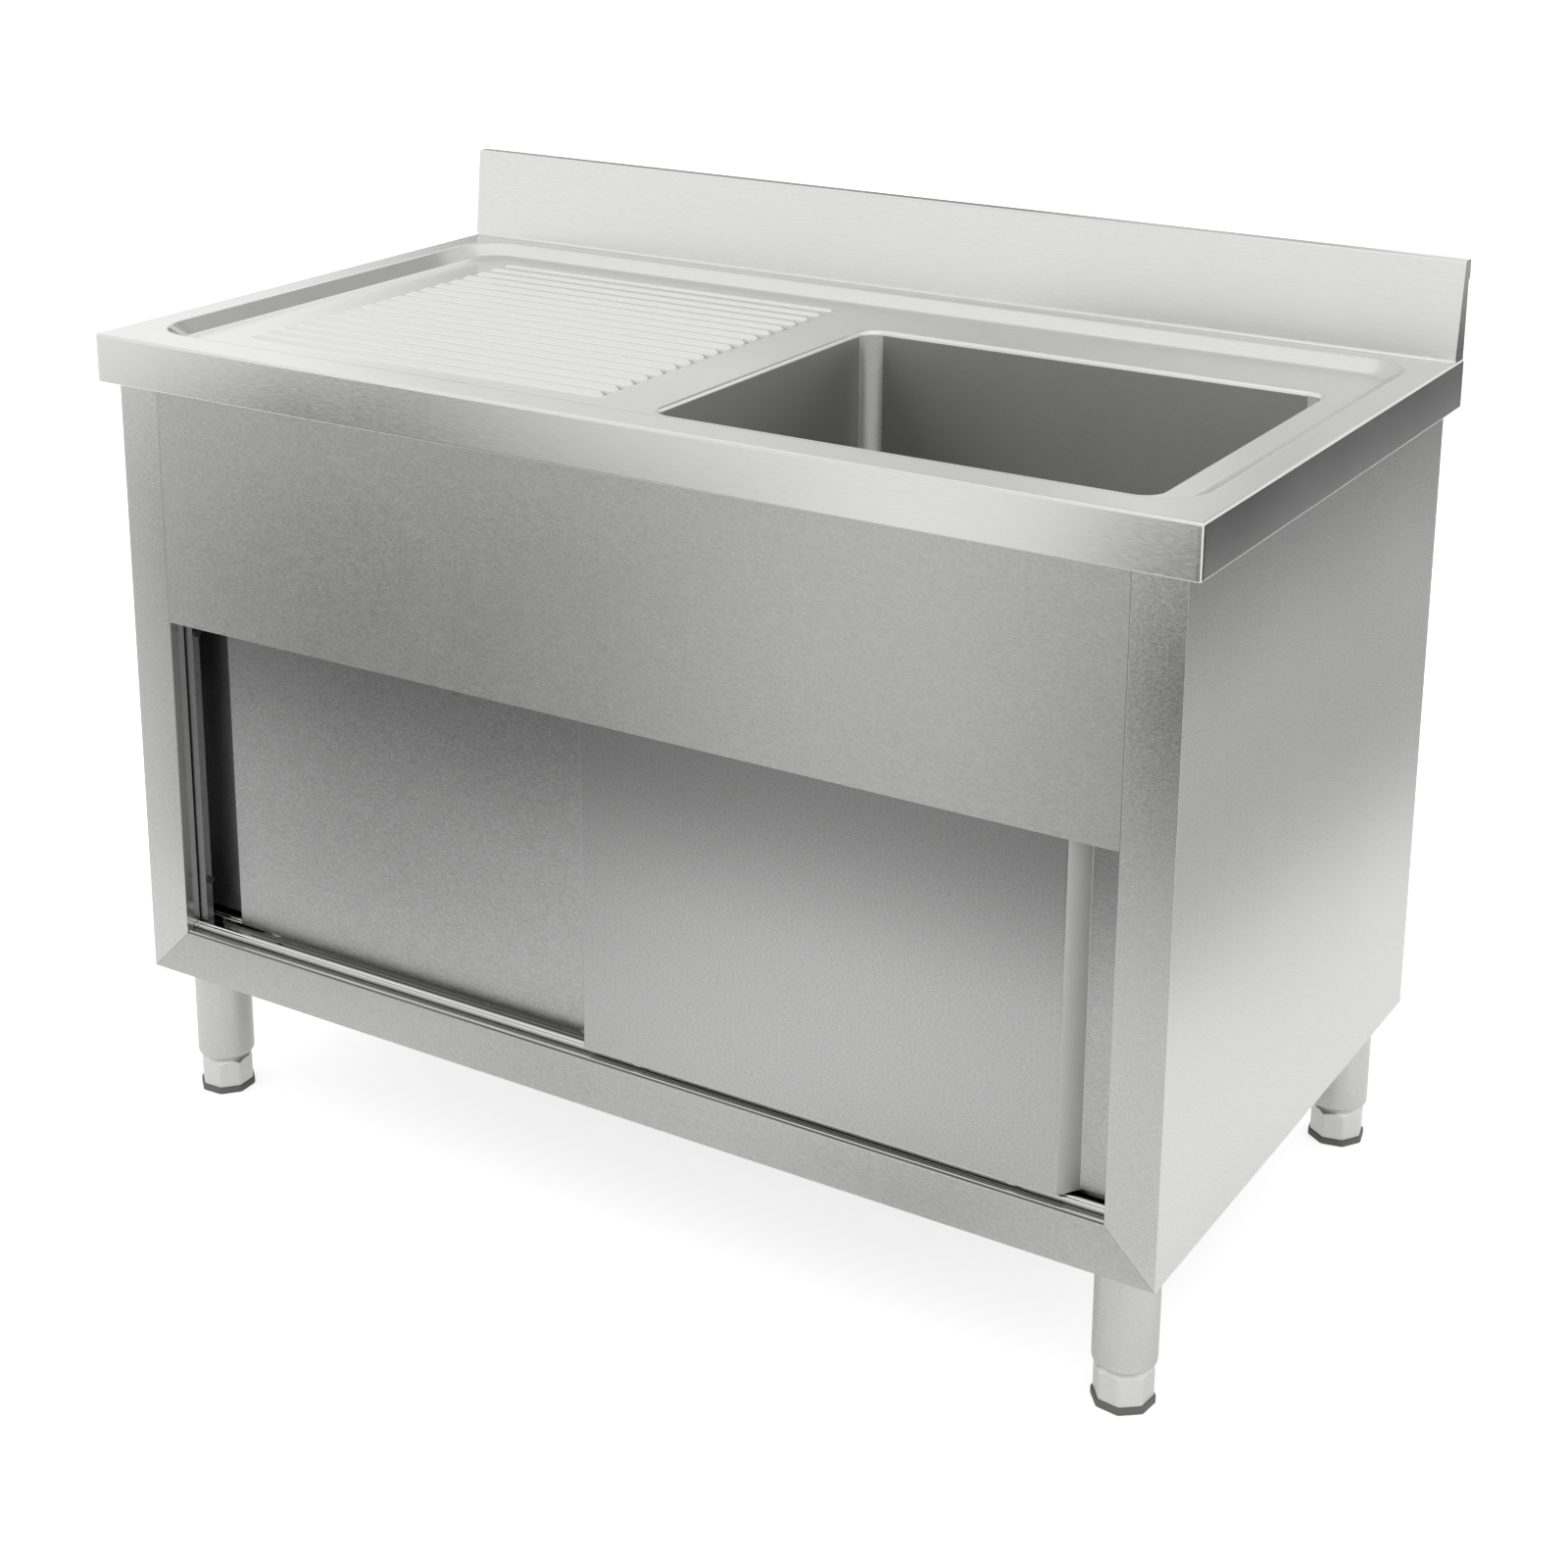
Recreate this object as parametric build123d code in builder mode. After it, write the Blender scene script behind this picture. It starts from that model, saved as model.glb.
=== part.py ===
from build123d import *
from math import atan2, cos, sqrt
import os

# Stainless steel laboratory sink unit: drainboard and bowl on a cabinet with two sliding doors.
# Frame: millimetres, +Z up, front faces -Y, +X to the right. The origin is the middle of the
# footprint, on the floor.

os.makedirs("parts", exist_ok=True)

# ---------------------------------------------------------------- overall
worktop_length = 1200.0
worktop_depth = 650.0
worktop_height = 850.0
splash_height = 100.0
splash_top_thickness = 15.0
splash_base_thickness = 26.0
splash_back_lip = 20.0

# ---------------------------------------------------------------- sheet and fits
top_sheet = 1.2
panel_sheet = 1.0
bend_radius = 2.5
seam_gap = 0.5
running_gap = 0.3

# ---------------------------------------------------------------- worktop
fascia_height = 50.0
fascia_return = 13.0
recess_side_margin = 30.0
recess_front_margin = 42.0
recess_rear_margin = 46.0
recess_depth = 12.0
recess_slope = 20.0
recess_corner = 50.0
rib_pitch = 25.0
rib_length = 442.0
rib_width = 15.0
rib_height = 3.0
rib_left_margin = 108.0
rib_front_margin = 113.0
rib_rear_gap = 40.0

# ---------------------------------------------------------------- bowl and waste
bowl_length = 500.0
bowl_width = 400.0
bowl_depth = 250.0
bowl_corner = 18.0
bowl_floor_radius = 14.0
bowl_rim_roll = 5.0
rim_land = 0.2
bowl_right_margin = 80.0
bowl_front_margin = 86.0
waste_from_rear_wall = 90.0
waste_hole_radius = 26.0
flange_radius = 35.0
flange_thickness = 3.0
flange_chamfer = 1.5
neck_radius = 23.9
neck_bore = 20.0
neck_length = 58.0
gasket_thickness = 3.0
gasket_radius = 33.0
locknut_sides = 6
locknut_flats = 62.0
locknut_height = 10.0
tail_radius = 20.0
tail_bore = 18.5
tail_length = 90.0
tail_collar_radius = 29.0
tail_collar_height = 24.0
tail_seat_thickness = 3.0
basket_rim_radius = 28.0
basket_rim_thickness = 1.2
basket_depth = 26.0
basket_wall = 1.0
basket_hole_radius = 2.0
basket_hole_circle = 12.0
basket_hole_count = 8
basket_knob_radius = 5.0
basket_knob_round = 2.5
basket_knob_height = 22.0

# ---------------------------------------------------------------- carcass
carcass_side_inset = 16.0
carcass_front_inset = 15.0
leg_height = 150.0
post_width = 50.0
post_return = 19.0
post_side_leg = 40.0
rail_height = 50.0
rail_return = 20.0
apron_drop = 250.0
apron_flange = 15.0
side_flange = 14.0
top_flange = 10.0
back_rail_return = 7.0
top_rail_height = 28.0
shelf_front_flange = 28.0
stiffener_width = 60.0
stiffener_height = 20.0
stiffener_foot = 12.0
shelf_stiffener_pitch = 150.0
gusset_size = 100.0
gusset_thickness = 3.0

# ---------------------------------------------------------------- doors and tracks
door_front_setback = 4.0
door_thickness = 24.0
lane_pitch = 27.0
door_overlap = 40.0
door_outer_reach = 16.0
door_floor_gap = 11.0
door_top_cover = 38.0
pull_width = 49.0
pull_slope = 14.0
pull_radius = 10.0
door_bend = 2.0
track_base = 1.5
track_rib_width = 9.0
track_rib_height = 9.0
track_rib_round = 2.0
rib_from_face = 10.5
roller_groove_radius = 8.0
roller_flange_radius = 11.0
roller_flange_width = 2.0
roller_side_play = 0.5
wheel_slot_gap = 2.0
roller_from_inner_edge = 60.0
roller_from_pull = 45.0
axle_radius = 2.5
axle_fit = 0.05
housing_sheet = 1.5
housing_length = 26.0
housing_head_room = 2.7
guide_block_length = 30.0
guide_block_width = 11.0
guide_block_height = 13.0
guide_block_round = 2.5
guide_side_play = 0.5
guide_head_room = 2.0
guide_door_gap = 2.0
guide_end_margin = 14.0
guide_flange = 18.0
jamb_reach = 10.0
jamb_face_setback = 17.0
jamb_depth = 9.0
jamb_head = 32.0
closing_width = 14.0
buffer_radius = 4.0
buffer_thickness = 4.0
buffer_end_margin = 55.0

# ---------------------------------------------------------------- legs and feet
leg_radius = 30.0
leg_wall = 1.5
leg_side_inset = 63.0
leg_front_inset = 67.0
leg_rear_inset = 40.0
leg_end_height = 40.0
leg_end_round = 6.0
insert_height = 30.0
foot_sides = 8
foot_flats = 52.0
foot_turns = {"front_left": 26.0, "front_right": 16.0, "rear_left": 8.0, "rear_right": 34.0}
foot_top_radius = 23.0
foot_body_height = 24.0
foot_chamfer_height = 5.0
pad_flats = 55.5
pad_height = 7.0
pad_socket_depth = 2.0
pad_socket_radius = 18.0
stem_radius = 6.0
stem_fit = 0.08
stem_length = 70.0

# ---------------------------------------------------------------- derived places
half_length = worktop_length / 2
front_y = -worktop_depth / 2
rear_y = worktop_depth / 2
rim_under = worktop_height - top_sheet
recess_floor = worktop_height - recess_depth
fascia_bottom = worktop_height - fascia_height
splash_base_y = rear_y - splash_base_thickness
splash_top_y = rear_y - splash_top_thickness
splash_top = worktop_height + splash_height
recess_length = worktop_length - 2 * recess_side_margin
recess_width = worktop_depth - recess_front_margin - recess_rear_margin
recess_y = (recess_front_margin - recess_rear_margin) / 2
recess_angle = atan2(recess_depth, recess_slope)
recess_shift = top_sheet * (1 / cos(recess_angle) - 1) * recess_slope / recess_depth
bowl_x = half_length - bowl_right_margin - bowl_length / 2
bowl_y = front_y + bowl_front_margin + bowl_width / 2
bowl_floor = recess_floor - bowl_depth
bowl_under = bowl_floor - top_sheet
waste_y = bowl_y + bowl_width / 2 - waste_from_rear_wall

carcass_x = half_length - carcass_side_inset
inner_x = carcass_x - panel_sheet
carcass_front = front_y + carcass_front_inset
frame_back = carcass_front + panel_sheet
opening_x = carcass_x - post_width
opening_floor = leg_height + rail_height
shelf_top = opening_floor
apron_bottom = fascia_bottom - apron_drop
back_panel_rear = rear_y - panel_sheet
back_panel_front = back_panel_rear - panel_sheet
shelf_x = inner_x - panel_sheet
leg_x = half_length - leg_side_inset
leg_front_y = front_y + leg_front_inset
leg_rear_y = rear_y - leg_rear_inset
gusset_bottom = leg_height + panel_sheet

front_lane_face = carcass_front + door_front_setback
rear_lane_face = front_lane_face + lane_pitch
door_bottom = opening_floor + door_floor_gap
door_top = apron_bottom + door_top_cover
door_height = door_top - door_bottom
door_inner = -door_overlap / 2
door_outer = opening_x + door_outer_reach
pull_edge = opening_x - pull_width
pull_foot = pull_edge + pull_slope
track_rib_top = opening_floor + track_rib_height
roller_z = track_rib_top + running_gap + roller_groove_radius
groove_width = track_rib_width + 2 * roller_side_play
roller_width = groove_width + 2 * roller_flange_width
roller_places = (door_inner + roller_from_inner_edge, pull_edge - roller_from_pull)
guide_slot = guide_block_width + 2 * guide_side_play
guide_web = door_top + guide_block_height + guide_head_room
guide_x = opening_x - guide_end_margin
jamb_x = opening_x - jamb_reach
jamb_top = door_top + jamb_head
closing_face = door_outer + running_gap + buffer_thickness


def save(part, name):
    """Label one finished piece and write its STEP file."""
    part.label = name
    export_step(part, "parts/" + name + ".step")


# ---------------------------------------------------------------- worktop
def rib_form(radius, chord_z):
    """One pressed drainboard rib: a long circle segment with rounded ends, on a chord at chord_z."""
    half_chord = sqrt(radius ** 2 - (radius - rib_height) ** 2)
    crest_z = chord_z + rib_height
    quarter_z = crest_z - radius + sqrt(radius ** 2 - half_chord ** 2 / 4)
    straight = rib_length - rib_width
    with BuildPart(mode=Mode.PRIVATE) as rib:
        with BuildSketch(Plane.YZ):
            with BuildLine():
                ThreePointArc((-half_chord, chord_z), (0, crest_z), (half_chord, chord_z))
                Line((half_chord, chord_z), (-half_chord, chord_z))
            make_face()
        extrude(amount=straight / 2, both=True)
        for end in (-1, 1):
            end_axis = Axis((end * straight / 2, 0, 0), (0, 0, 1))
            with BuildSketch(Plane.YZ.offset(end * straight / 2)):
                with BuildLine():
                    ThreePointArc((0, crest_z), (half_chord / 2, quarter_z), (half_chord, chord_z))
                    Polyline((half_chord, chord_z), (0, chord_z), (0, crest_z))
                make_face()
            revolve(axis=end_axis, revolution_arc=360)
    return rib.part


rib_radius = rib_width ** 2 / (8 * rib_height) + rib_height / 2
rib_outside = rib_form(rib_radius, recess_floor)
rib_inside = rib_form(rib_radius - top_sheet, recess_floor - top_sheet)
rib_run = worktop_depth - rib_front_margin - recess_rear_margin - recess_slope - rib_rear_gap
rib_count = int(rib_run // rib_pitch) + 1
rib_x = -half_length + rib_left_margin + rib_length / 2
rib_y = front_y + rib_front_margin + (rib_count - 1) * rib_pitch / 2
cutout_grow = 2 * bowl_rim_roll

with BuildPart() as worktop:
    with BuildSketch(Plane.YZ):
        with BuildLine() as sheet_line:
            Polyline(
                (front_y + fascia_return, fascia_bottom),
                (front_y, fascia_bottom),
                (front_y, worktop_height),
                (splash_base_y, worktop_height),
                (splash_top_y, splash_top),
                (rear_y, splash_top),
                (rear_y, splash_top - splash_back_lip),
            )
            fillet(sheet_line.vertices().sort_by(Axis.X)[1:-1], bend_radius)
            offset(amount=top_sheet, side=Side.RIGHT)
        make_face()
    extrude(amount=half_length, both=True)
    for side in (-1, 1):
        with BuildSketch(Plane.XZ.offset(-rear_y)):
            with BuildLine():
                Polyline(
                    (side * half_length, rim_under),
                    (side * half_length, fascia_bottom),
                    (side * (half_length - fascia_return), fascia_bottom),
                    (side * (half_length - fascia_return), fascia_bottom + top_sheet),
                    (side * (half_length - top_sheet), fascia_bottom + top_sheet),
                    (side * (half_length - top_sheet), rim_under),
                    close=True,
                )
            make_face()
        extrude(amount=worktop_depth - bend_radius)
        with BuildSketch(Plane.XY.offset(rim_under)):
            with Locations((side * (half_length - top_sheet / 2), (splash_base_y + rear_y) / 2)):
                Rectangle(top_sheet, splash_base_thickness)
        extrude(amount=top_sheet)
    with BuildSketch(Plane.XY.offset(rim_under)):
        with Locations((0, recess_y)):
            RectangleRounded(
                recess_length + 2 * recess_shift,
                recess_width + 2 * recess_shift,
                recess_corner + recess_shift,
            )
    with BuildSketch(Plane.XY.offset(recess_floor - top_sheet)):
        with Locations((0, recess_y)):
            RectangleRounded(
                recess_length - 2 * recess_slope + 2 * recess_shift,
                recess_width - 2 * recess_slope + 2 * recess_shift,
                recess_corner - recess_slope + recess_shift,
            )
    loft()
    with BuildSketch(Plane.XY.offset(worktop_height)):
        with Locations((0, recess_y)):
            RectangleRounded(recess_length, recess_width, recess_corner)
    with BuildSketch(Plane.XY.offset(recess_floor)):
        with Locations((0, recess_y)):
            RectangleRounded(
                recess_length - 2 * recess_slope,
                recess_width - 2 * recess_slope,
                recess_corner - recess_slope,
            )
    loft(mode=Mode.SUBTRACT)
    with Locations((rib_x, rib_y)):
        with GridLocations(1, rib_pitch, 1, rib_count):
            add(rib_outside)
    with Locations((rib_x, rib_y)):
        with GridLocations(1, rib_pitch, 1, rib_count):
            add(rib_inside, mode=Mode.SUBTRACT)
    with BuildSketch(Plane.XY.offset(worktop_height)):
        with Locations((bowl_x, bowl_y)):
            RectangleRounded(
                bowl_length + cutout_grow, bowl_width + cutout_grow, bowl_corner + bowl_rim_roll
            )
    extrude(amount=-recess_depth - 2 * top_sheet, mode=Mode.SUBTRACT)
save(worktop.part, "worktop")

# ---------------------------------------------------------------- splashback ends
for side, name in ((-1, "splash_end_left"), (1, "splash_end_right")):
    with BuildPart() as splash_end:
        with BuildSketch(Plane.YZ.offset(side * (half_length - seam_gap))):
            with BuildLine():
                Polyline(
                    (splash_base_y + 2 * top_sheet, worktop_height + bend_radius),
                    (splash_top_y + 2 * top_sheet, splash_top - top_sheet - seam_gap),
                    (rear_y - top_sheet - seam_gap, splash_top - top_sheet - seam_gap),
                    (rear_y - top_sheet - seam_gap, worktop_height),
                    (splash_base_y + 2 * top_sheet + bend_radius, worktop_height),
                    close=True,
                )
            make_face()
        extrude(amount=-side * top_sheet)
    save(splash_end.part, name)

# ---------------------------------------------------------------- bowl
with BuildPart() as bowl_space:
    with BuildSketch(Plane.XY.offset(recess_floor)):
        with Locations((bowl_x, bowl_y)):
            RectangleRounded(bowl_length, bowl_width, bowl_corner)
    extrude(amount=-bowl_depth)
    fillet(bowl_space.faces().sort_by(Axis.Z)[0].edges(), bowl_floor_radius)

with BuildPart() as bowl:
    with BuildSketch(Plane.XY.offset(recess_floor)):
        with Locations((bowl_x, bowl_y)):
            RectangleRounded(
                bowl_length + 2 * top_sheet, bowl_width + 2 * top_sheet, bowl_corner + top_sheet
            )
    extrude(amount=-bowl_depth - top_sheet)
    fillet(bowl.faces().sort_by(Axis.Z)[0].edges(), bowl_floor_radius + top_sheet)
    with BuildSketch(Plane.XY.offset(recess_floor)):
        with Locations((bowl_x, bowl_y)):
            RectangleRounded(
                bowl_length + cutout_grow, bowl_width + cutout_grow, bowl_corner + bowl_rim_roll
            )
    extrude(amount=-bowl_rim_roll)
    add(bowl_space.part, mode=Mode.SUBTRACT)
    rim_face = bowl.faces().filter_by(Axis.Z).sort_by(Axis.Z)[-1]
    fillet(rim_face.inner_wires()[0].edges(), bowl_rim_roll - rim_land)
    with BuildSketch(Plane.XY.offset(bowl_under)):
        with Locations((bowl_x, waste_y)):
            Circle(waste_hole_radius)
    extrude(amount=top_sheet, mode=Mode.SUBTRACT)
save(bowl.part, "bowl")

# ---------------------------------------------------------------- waste fitting
flange_top = bowl_floor + flange_thickness
neck_end = bowl_floor - neck_length
locknut_top = bowl_under - gasket_thickness
tail_collar_top = neck_end + tail_collar_height
tail_end = neck_end - tail_length

with BuildPart() as waste_flange:
    with BuildSketch(Plane.XZ.offset(-waste_y)):
        with BuildLine():
            Polyline(
                (bowl_x + neck_bore, neck_end),
                (bowl_x + neck_radius, neck_end),
                (bowl_x + neck_radius, bowl_floor),
                (bowl_x + flange_radius, bowl_floor),
                (bowl_x + flange_radius - flange_chamfer, flange_top),
                (bowl_x + neck_bore + flange_thickness, flange_top),
                (bowl_x + neck_bore, flange_top - flange_thickness),
                close=True,
            )
        make_face()
    revolve(axis=Axis((bowl_x, waste_y, 0), (0, 0, 1)))
save(waste_flange.part, "waste_flange")

with BuildPart() as waste_gasket:
    with BuildSketch(Plane.XY.offset(locknut_top)):
        with Locations((bowl_x, waste_y)):
            Circle(gasket_radius)
            Circle(neck_radius, mode=Mode.SUBTRACT)
    extrude(amount=gasket_thickness)
save(waste_gasket.part, "waste_gasket")

with BuildPart() as waste_locknut:
    with BuildSketch(Plane.XY.offset(locknut_top)):
        with Locations((bowl_x, waste_y)):
            RegularPolygon(locknut_flats / 2, locknut_sides, major_radius=False)
            Circle(neck_radius, mode=Mode.SUBTRACT)
    extrude(amount=-locknut_height)
save(waste_locknut.part, "waste_locknut")

with BuildPart() as waste_tailpiece:
    with BuildSketch(Plane.XY.offset(neck_end)):
        with Locations((bowl_x, waste_y)):
            Circle(tail_collar_radius)
            Circle(neck_radius, mode=Mode.SUBTRACT)
    extrude(amount=tail_collar_height)
    with BuildSketch(Plane.XY.offset(neck_end)):
        with Locations((bowl_x, waste_y)):
            Circle(tail_collar_radius)
            Circle(tail_bore, mode=Mode.SUBTRACT)
    extrude(amount=-tail_seat_thickness)
    with BuildSketch(Plane.XY.offset(neck_end)):
        with Locations((bowl_x, waste_y)):
            Circle(tail_radius)
            Circle(tail_bore, mode=Mode.SUBTRACT)
    extrude(amount=-tail_length)
save(waste_tailpiece.part, "waste_tailpiece")

basket_under = flange_top + running_gap
basket_radius = neck_bore - running_gap
with BuildPart() as strainer_basket:
    with BuildSketch(Plane.XY.offset(basket_under)):
        with Locations((bowl_x, waste_y)):
            Circle(basket_rim_radius)
    extrude(amount=basket_rim_thickness)
    with BuildSketch(Plane.XY.offset(basket_under)):
        with Locations((bowl_x, waste_y)):
            Circle(basket_radius)
    extrude(amount=-basket_depth)
    with BuildSketch(Plane.XY.offset(basket_under - basket_depth + basket_wall)):
        with Locations((bowl_x, waste_y)):
            Circle(basket_radius - basket_wall)
    extrude(amount=basket_depth + basket_rim_thickness, mode=Mode.SUBTRACT)
    with BuildSketch(Plane.XY.offset(basket_under - basket_depth)):
        with Locations((bowl_x, waste_y)):
            with PolarLocations(basket_hole_circle, basket_hole_count):
                Circle(basket_hole_radius)
    extrude(amount=basket_wall, mode=Mode.SUBTRACT)
    with BuildSketch(Plane.XY.offset(basket_under - basket_depth)):
        with Locations((bowl_x, waste_y)):
            Circle(basket_knob_radius)
    extrude(amount=basket_depth + basket_knob_height)
    fillet(strainer_basket.faces().sort_by(Axis.Z)[-1].edges(), basket_knob_round)
save(strainer_basket.part, "strainer_basket")


# ---------------------------------------------------------------- drainboard stiffeners
def hat_stiffener(length):
    """One folded hat section along X, its two feet up against the plane z = 0."""
    crown_width = stiffener_width - 2 * stiffener_foot
    with BuildPart(mode=Mode.PRIVATE) as stiffener:
        with BuildSketch(Plane.YZ):
            with Locations((0, -stiffener_height / 2)):
                Rectangle(crown_width, stiffener_height)
            with Locations((0, -panel_sheet / 2)):
                Rectangle(stiffener_width, panel_sheet)
            with Locations((0, (panel_sheet - stiffener_height) / 2)):
                Rectangle(crown_width - 2 * panel_sheet, stiffener_height - panel_sheet, mode=Mode.SUBTRACT)
        extrude(amount=length / 2, both=True)
    return stiffener.part


stiffener_run = recess_width - 2 * recess_slope - recess_corner
stiffener_spread = rib_length / 2
with BuildPart() as drainboard_stiffeners:
    for place in (rib_x - stiffener_spread / 2, rib_x + stiffener_spread / 2):
        with Locations(Location((place, recess_y, recess_floor - top_sheet), (0, 0, 90))):
            add(hat_stiffener(stiffener_run))
save(drainboard_stiffeners.part, "drainboard_stiffeners")

# ---------------------------------------------------------------- side panels
for side, name in ((-1, "left_side_panel"), (1, "right_side_panel")):
    with BuildPart() as side_panel:
        with BuildSketch(Plane.XZ.offset(-frame_back)):
            with Locations((side * (carcass_x + inner_x) / 2, (leg_height + rim_under) / 2)):
                Rectangle(panel_sheet, rim_under - leg_height)
            with Locations((side * (inner_x - side_flange / 2), leg_height + panel_sheet / 2)):
                Rectangle(side_flange, panel_sheet)
        extrude(amount=-(rear_y - frame_back))
        with BuildSketch(Plane.XY.offset(rim_under)):
            with Locations((side * (inner_x - top_flange / 2), (frame_back + rear_y) / 2)):
                Rectangle(top_flange, rear_y - frame_back - 2 * post_side_leg)
        extrude(amount=-panel_sheet)
        with BuildSketch(Plane.XY.offset(leg_height)):
            with Locations((side * (inner_x - side_flange / 2), rear_y - panel_sheet / 2)):
                Rectangle(side_flange, panel_sheet)
        extrude(amount=rim_under - leg_height)
    save(side_panel.part, name)

# ---------------------------------------------------------------- front posts, mitred at the foot
for side, name in ((-1, "left_post"), (1, "right_post")):
    with BuildPart() as post:
        with BuildSketch(Plane.XZ.offset(-carcass_front)):
            with BuildLine():
                Polyline(
                    (side * carcass_x, leg_height),
                    (side * carcass_x, rim_under),
                    (side * opening_x, rim_under),
                    (side * opening_x, opening_floor),
                    close=True,
                )
            make_face()
        extrude(amount=-panel_sheet)
        with BuildSketch(Plane.XY.offset(opening_floor)):
            with Locations((side * (opening_x + panel_sheet / 2), carcass_front + post_return / 2)):
                Rectangle(panel_sheet, post_return)
        extrude(amount=rim_under - opening_floor)
        with BuildSketch(Plane.XY.offset(opening_floor)):
            with Locations((side * (inner_x - panel_sheet / 2), frame_back + post_side_leg / 2)):
                Rectangle(panel_sheet, post_side_leg)
        extrude(amount=rim_under - opening_floor)
    save(post.part, name)

# ---------------------------------------------------------------- front bottom rail
with BuildPart() as bottom_rail:
    with BuildSketch(Plane.XZ.offset(-carcass_front)):
        with BuildLine():
            Polyline(
                (-carcass_x, leg_height),
                (carcass_x, leg_height),
                (opening_x, opening_floor),
                (-opening_x, opening_floor),
                close=True,
            )
        make_face()
    extrude(amount=-panel_sheet)
    with BuildSketch(Plane.YZ):
        with Locations((carcass_front + rail_return / 2, opening_floor - panel_sheet / 2)):
            Rectangle(rail_return, panel_sheet)
    extrude(amount=opening_x, both=True)
    with BuildSketch(Plane.YZ):
        with Locations((carcass_front + rail_return / 2, leg_height + panel_sheet / 2)):
            Rectangle(rail_return, panel_sheet)
    extrude(amount=inner_x - side_flange, both=True)
save(bottom_rail.part, "bottom_rail")

# ---------------------------------------------------------------- apron under the worktop
apron_x = opening_x - seam_gap
with BuildPart() as apron:
    with BuildSketch(Plane.XY.offset(apron_bottom)):
        with Locations((0, carcass_front + panel_sheet / 2)):
            Rectangle(2 * apron_x, panel_sheet)
        for side in (-1, 1):
            with Locations((side * (apron_x - panel_sheet / 2), carcass_front + apron_flange / 2)):
                Rectangle(panel_sheet, apron_flange)
    extrude(amount=rim_under - apron_bottom)
    with BuildSketch(Plane.XY.offset(rim_under)):
        with Locations((0, carcass_front + apron_flange / 2)):
            Rectangle(2 * apron_x, apron_flange)
    extrude(amount=-panel_sheet)
save(apron.part, "apron")

# ---------------------------------------------------------------- back panel and rear rails
with BuildPart() as back_panel:
    with BuildSketch(Plane.XZ.offset(-back_panel_front)):
        with Locations((0, (leg_height + rim_under) / 2)):
            Rectangle(2 * inner_x, rim_under - leg_height - 2 * panel_sheet)
    extrude(amount=-panel_sheet)
save(back_panel.part, "back_panel")

with BuildPart() as rear_top_rail:
    with BuildSketch(Plane.YZ):
        with Locations((back_panel_front - panel_sheet / 2, rim_under - top_rail_height / 2)):
            Rectangle(panel_sheet, top_rail_height)
        with Locations(((splash_base_y - top_flange + back_panel_front) / 2, rim_under - panel_sheet / 2)):
            Rectangle(back_panel_front - splash_base_y + top_flange, panel_sheet)
    extrude(amount=inner_x - top_flange, both=True)
save(rear_top_rail.part, "rear_top_rail")

with BuildPart() as rear_bottom_rail:
    with BuildSketch(Plane.YZ):
        with Locations((back_panel_front - panel_sheet / 2, (gusset_bottom + shelf_top - panel_sheet) / 2)):
            Rectangle(panel_sheet, shelf_top - panel_sheet - gusset_bottom)
        with Locations((back_panel_front - back_rail_return / 2, leg_height + panel_sheet / 2)):
            Rectangle(back_rail_return, panel_sheet)
    extrude(amount=inner_x - side_flange, both=True)
save(rear_bottom_rail.part, "rear_bottom_rail")

# ---------------------------------------------------------------- cabinet floor
shelf_front = carcass_front + rail_return
with BuildPart() as bottom_shelf:
    with BuildSketch(Plane.XY.offset(shelf_top)):
        with Locations((0, (shelf_front + back_panel_front) / 2)):
            Rectangle(2 * shelf_x, back_panel_front - shelf_front)
    extrude(amount=-panel_sheet)
    with BuildSketch(Plane.XZ.offset(-shelf_front)):
        with Locations((0, shelf_top - shelf_front_flange / 2)):
            Rectangle(2 * shelf_x, shelf_front_flange)
    extrude(amount=-panel_sheet)
    with BuildSketch(Plane.XZ.offset(-shelf_front)):
        for side in (-1, 1):
            with Locations((side * (shelf_x - panel_sheet / 2), (gusset_bottom + shelf_top) / 2)):
                Rectangle(panel_sheet, shelf_top - gusset_bottom)
    extrude(amount=-(back_panel_front - back_rail_return - shelf_front))
save(bottom_shelf.part, "bottom_shelf")

shelf_middle = (shelf_front + back_panel_front) / 2
with BuildPart() as shelf_stiffeners:
    for place in (shelf_middle - shelf_stiffener_pitch / 2, shelf_middle + shelf_stiffener_pitch / 2):
        with Locations((0, place, shelf_top - panel_sheet)):
            add(hat_stiffener(2 * (shelf_x - panel_sheet)))
save(shelf_stiffeners.part, "shelf_stiffeners")

gusset_x = shelf_x - panel_sheet - gusset_size / 2
gusset_front = frame_back + gusset_size / 2
gusset_rear = back_panel_front - panel_sheet - gusset_size / 2
with BuildPart() as corner_gussets:
    with BuildSketch(Plane.XY.offset(gusset_bottom)):
        for side in (-1, 1):
            with Locations((side * gusset_x, gusset_front), (side * gusset_x, gusset_rear)):
                Rectangle(gusset_size, gusset_size)
    extrude(amount=gusset_thickness)
save(corner_gussets.part, "corner_gussets")

# ---------------------------------------------------------------- lower track and upper guide
track_back = rear_lane_face + door_thickness
rib_centres = (front_lane_face + rib_from_face, rear_lane_face + rib_from_face)
with BuildPart() as lower_track:
    with BuildSketch(Plane.YZ):
        with Locations(((frame_back + track_back) / 2, opening_floor + track_base / 2)):
            Rectangle(track_back - frame_back, track_base)
        for centre in rib_centres:
            with Locations((centre, opening_floor + track_rib_height / 2)):
                RectangleRounded(track_rib_width, track_rib_height, track_rib_round)
            with Locations((centre, opening_floor + track_rib_height / 4)):
                Rectangle(track_rib_width, track_rib_height / 2)
    extrude(amount=opening_x - seam_gap, both=True)
save(lower_track.part, "lower_track")

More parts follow.
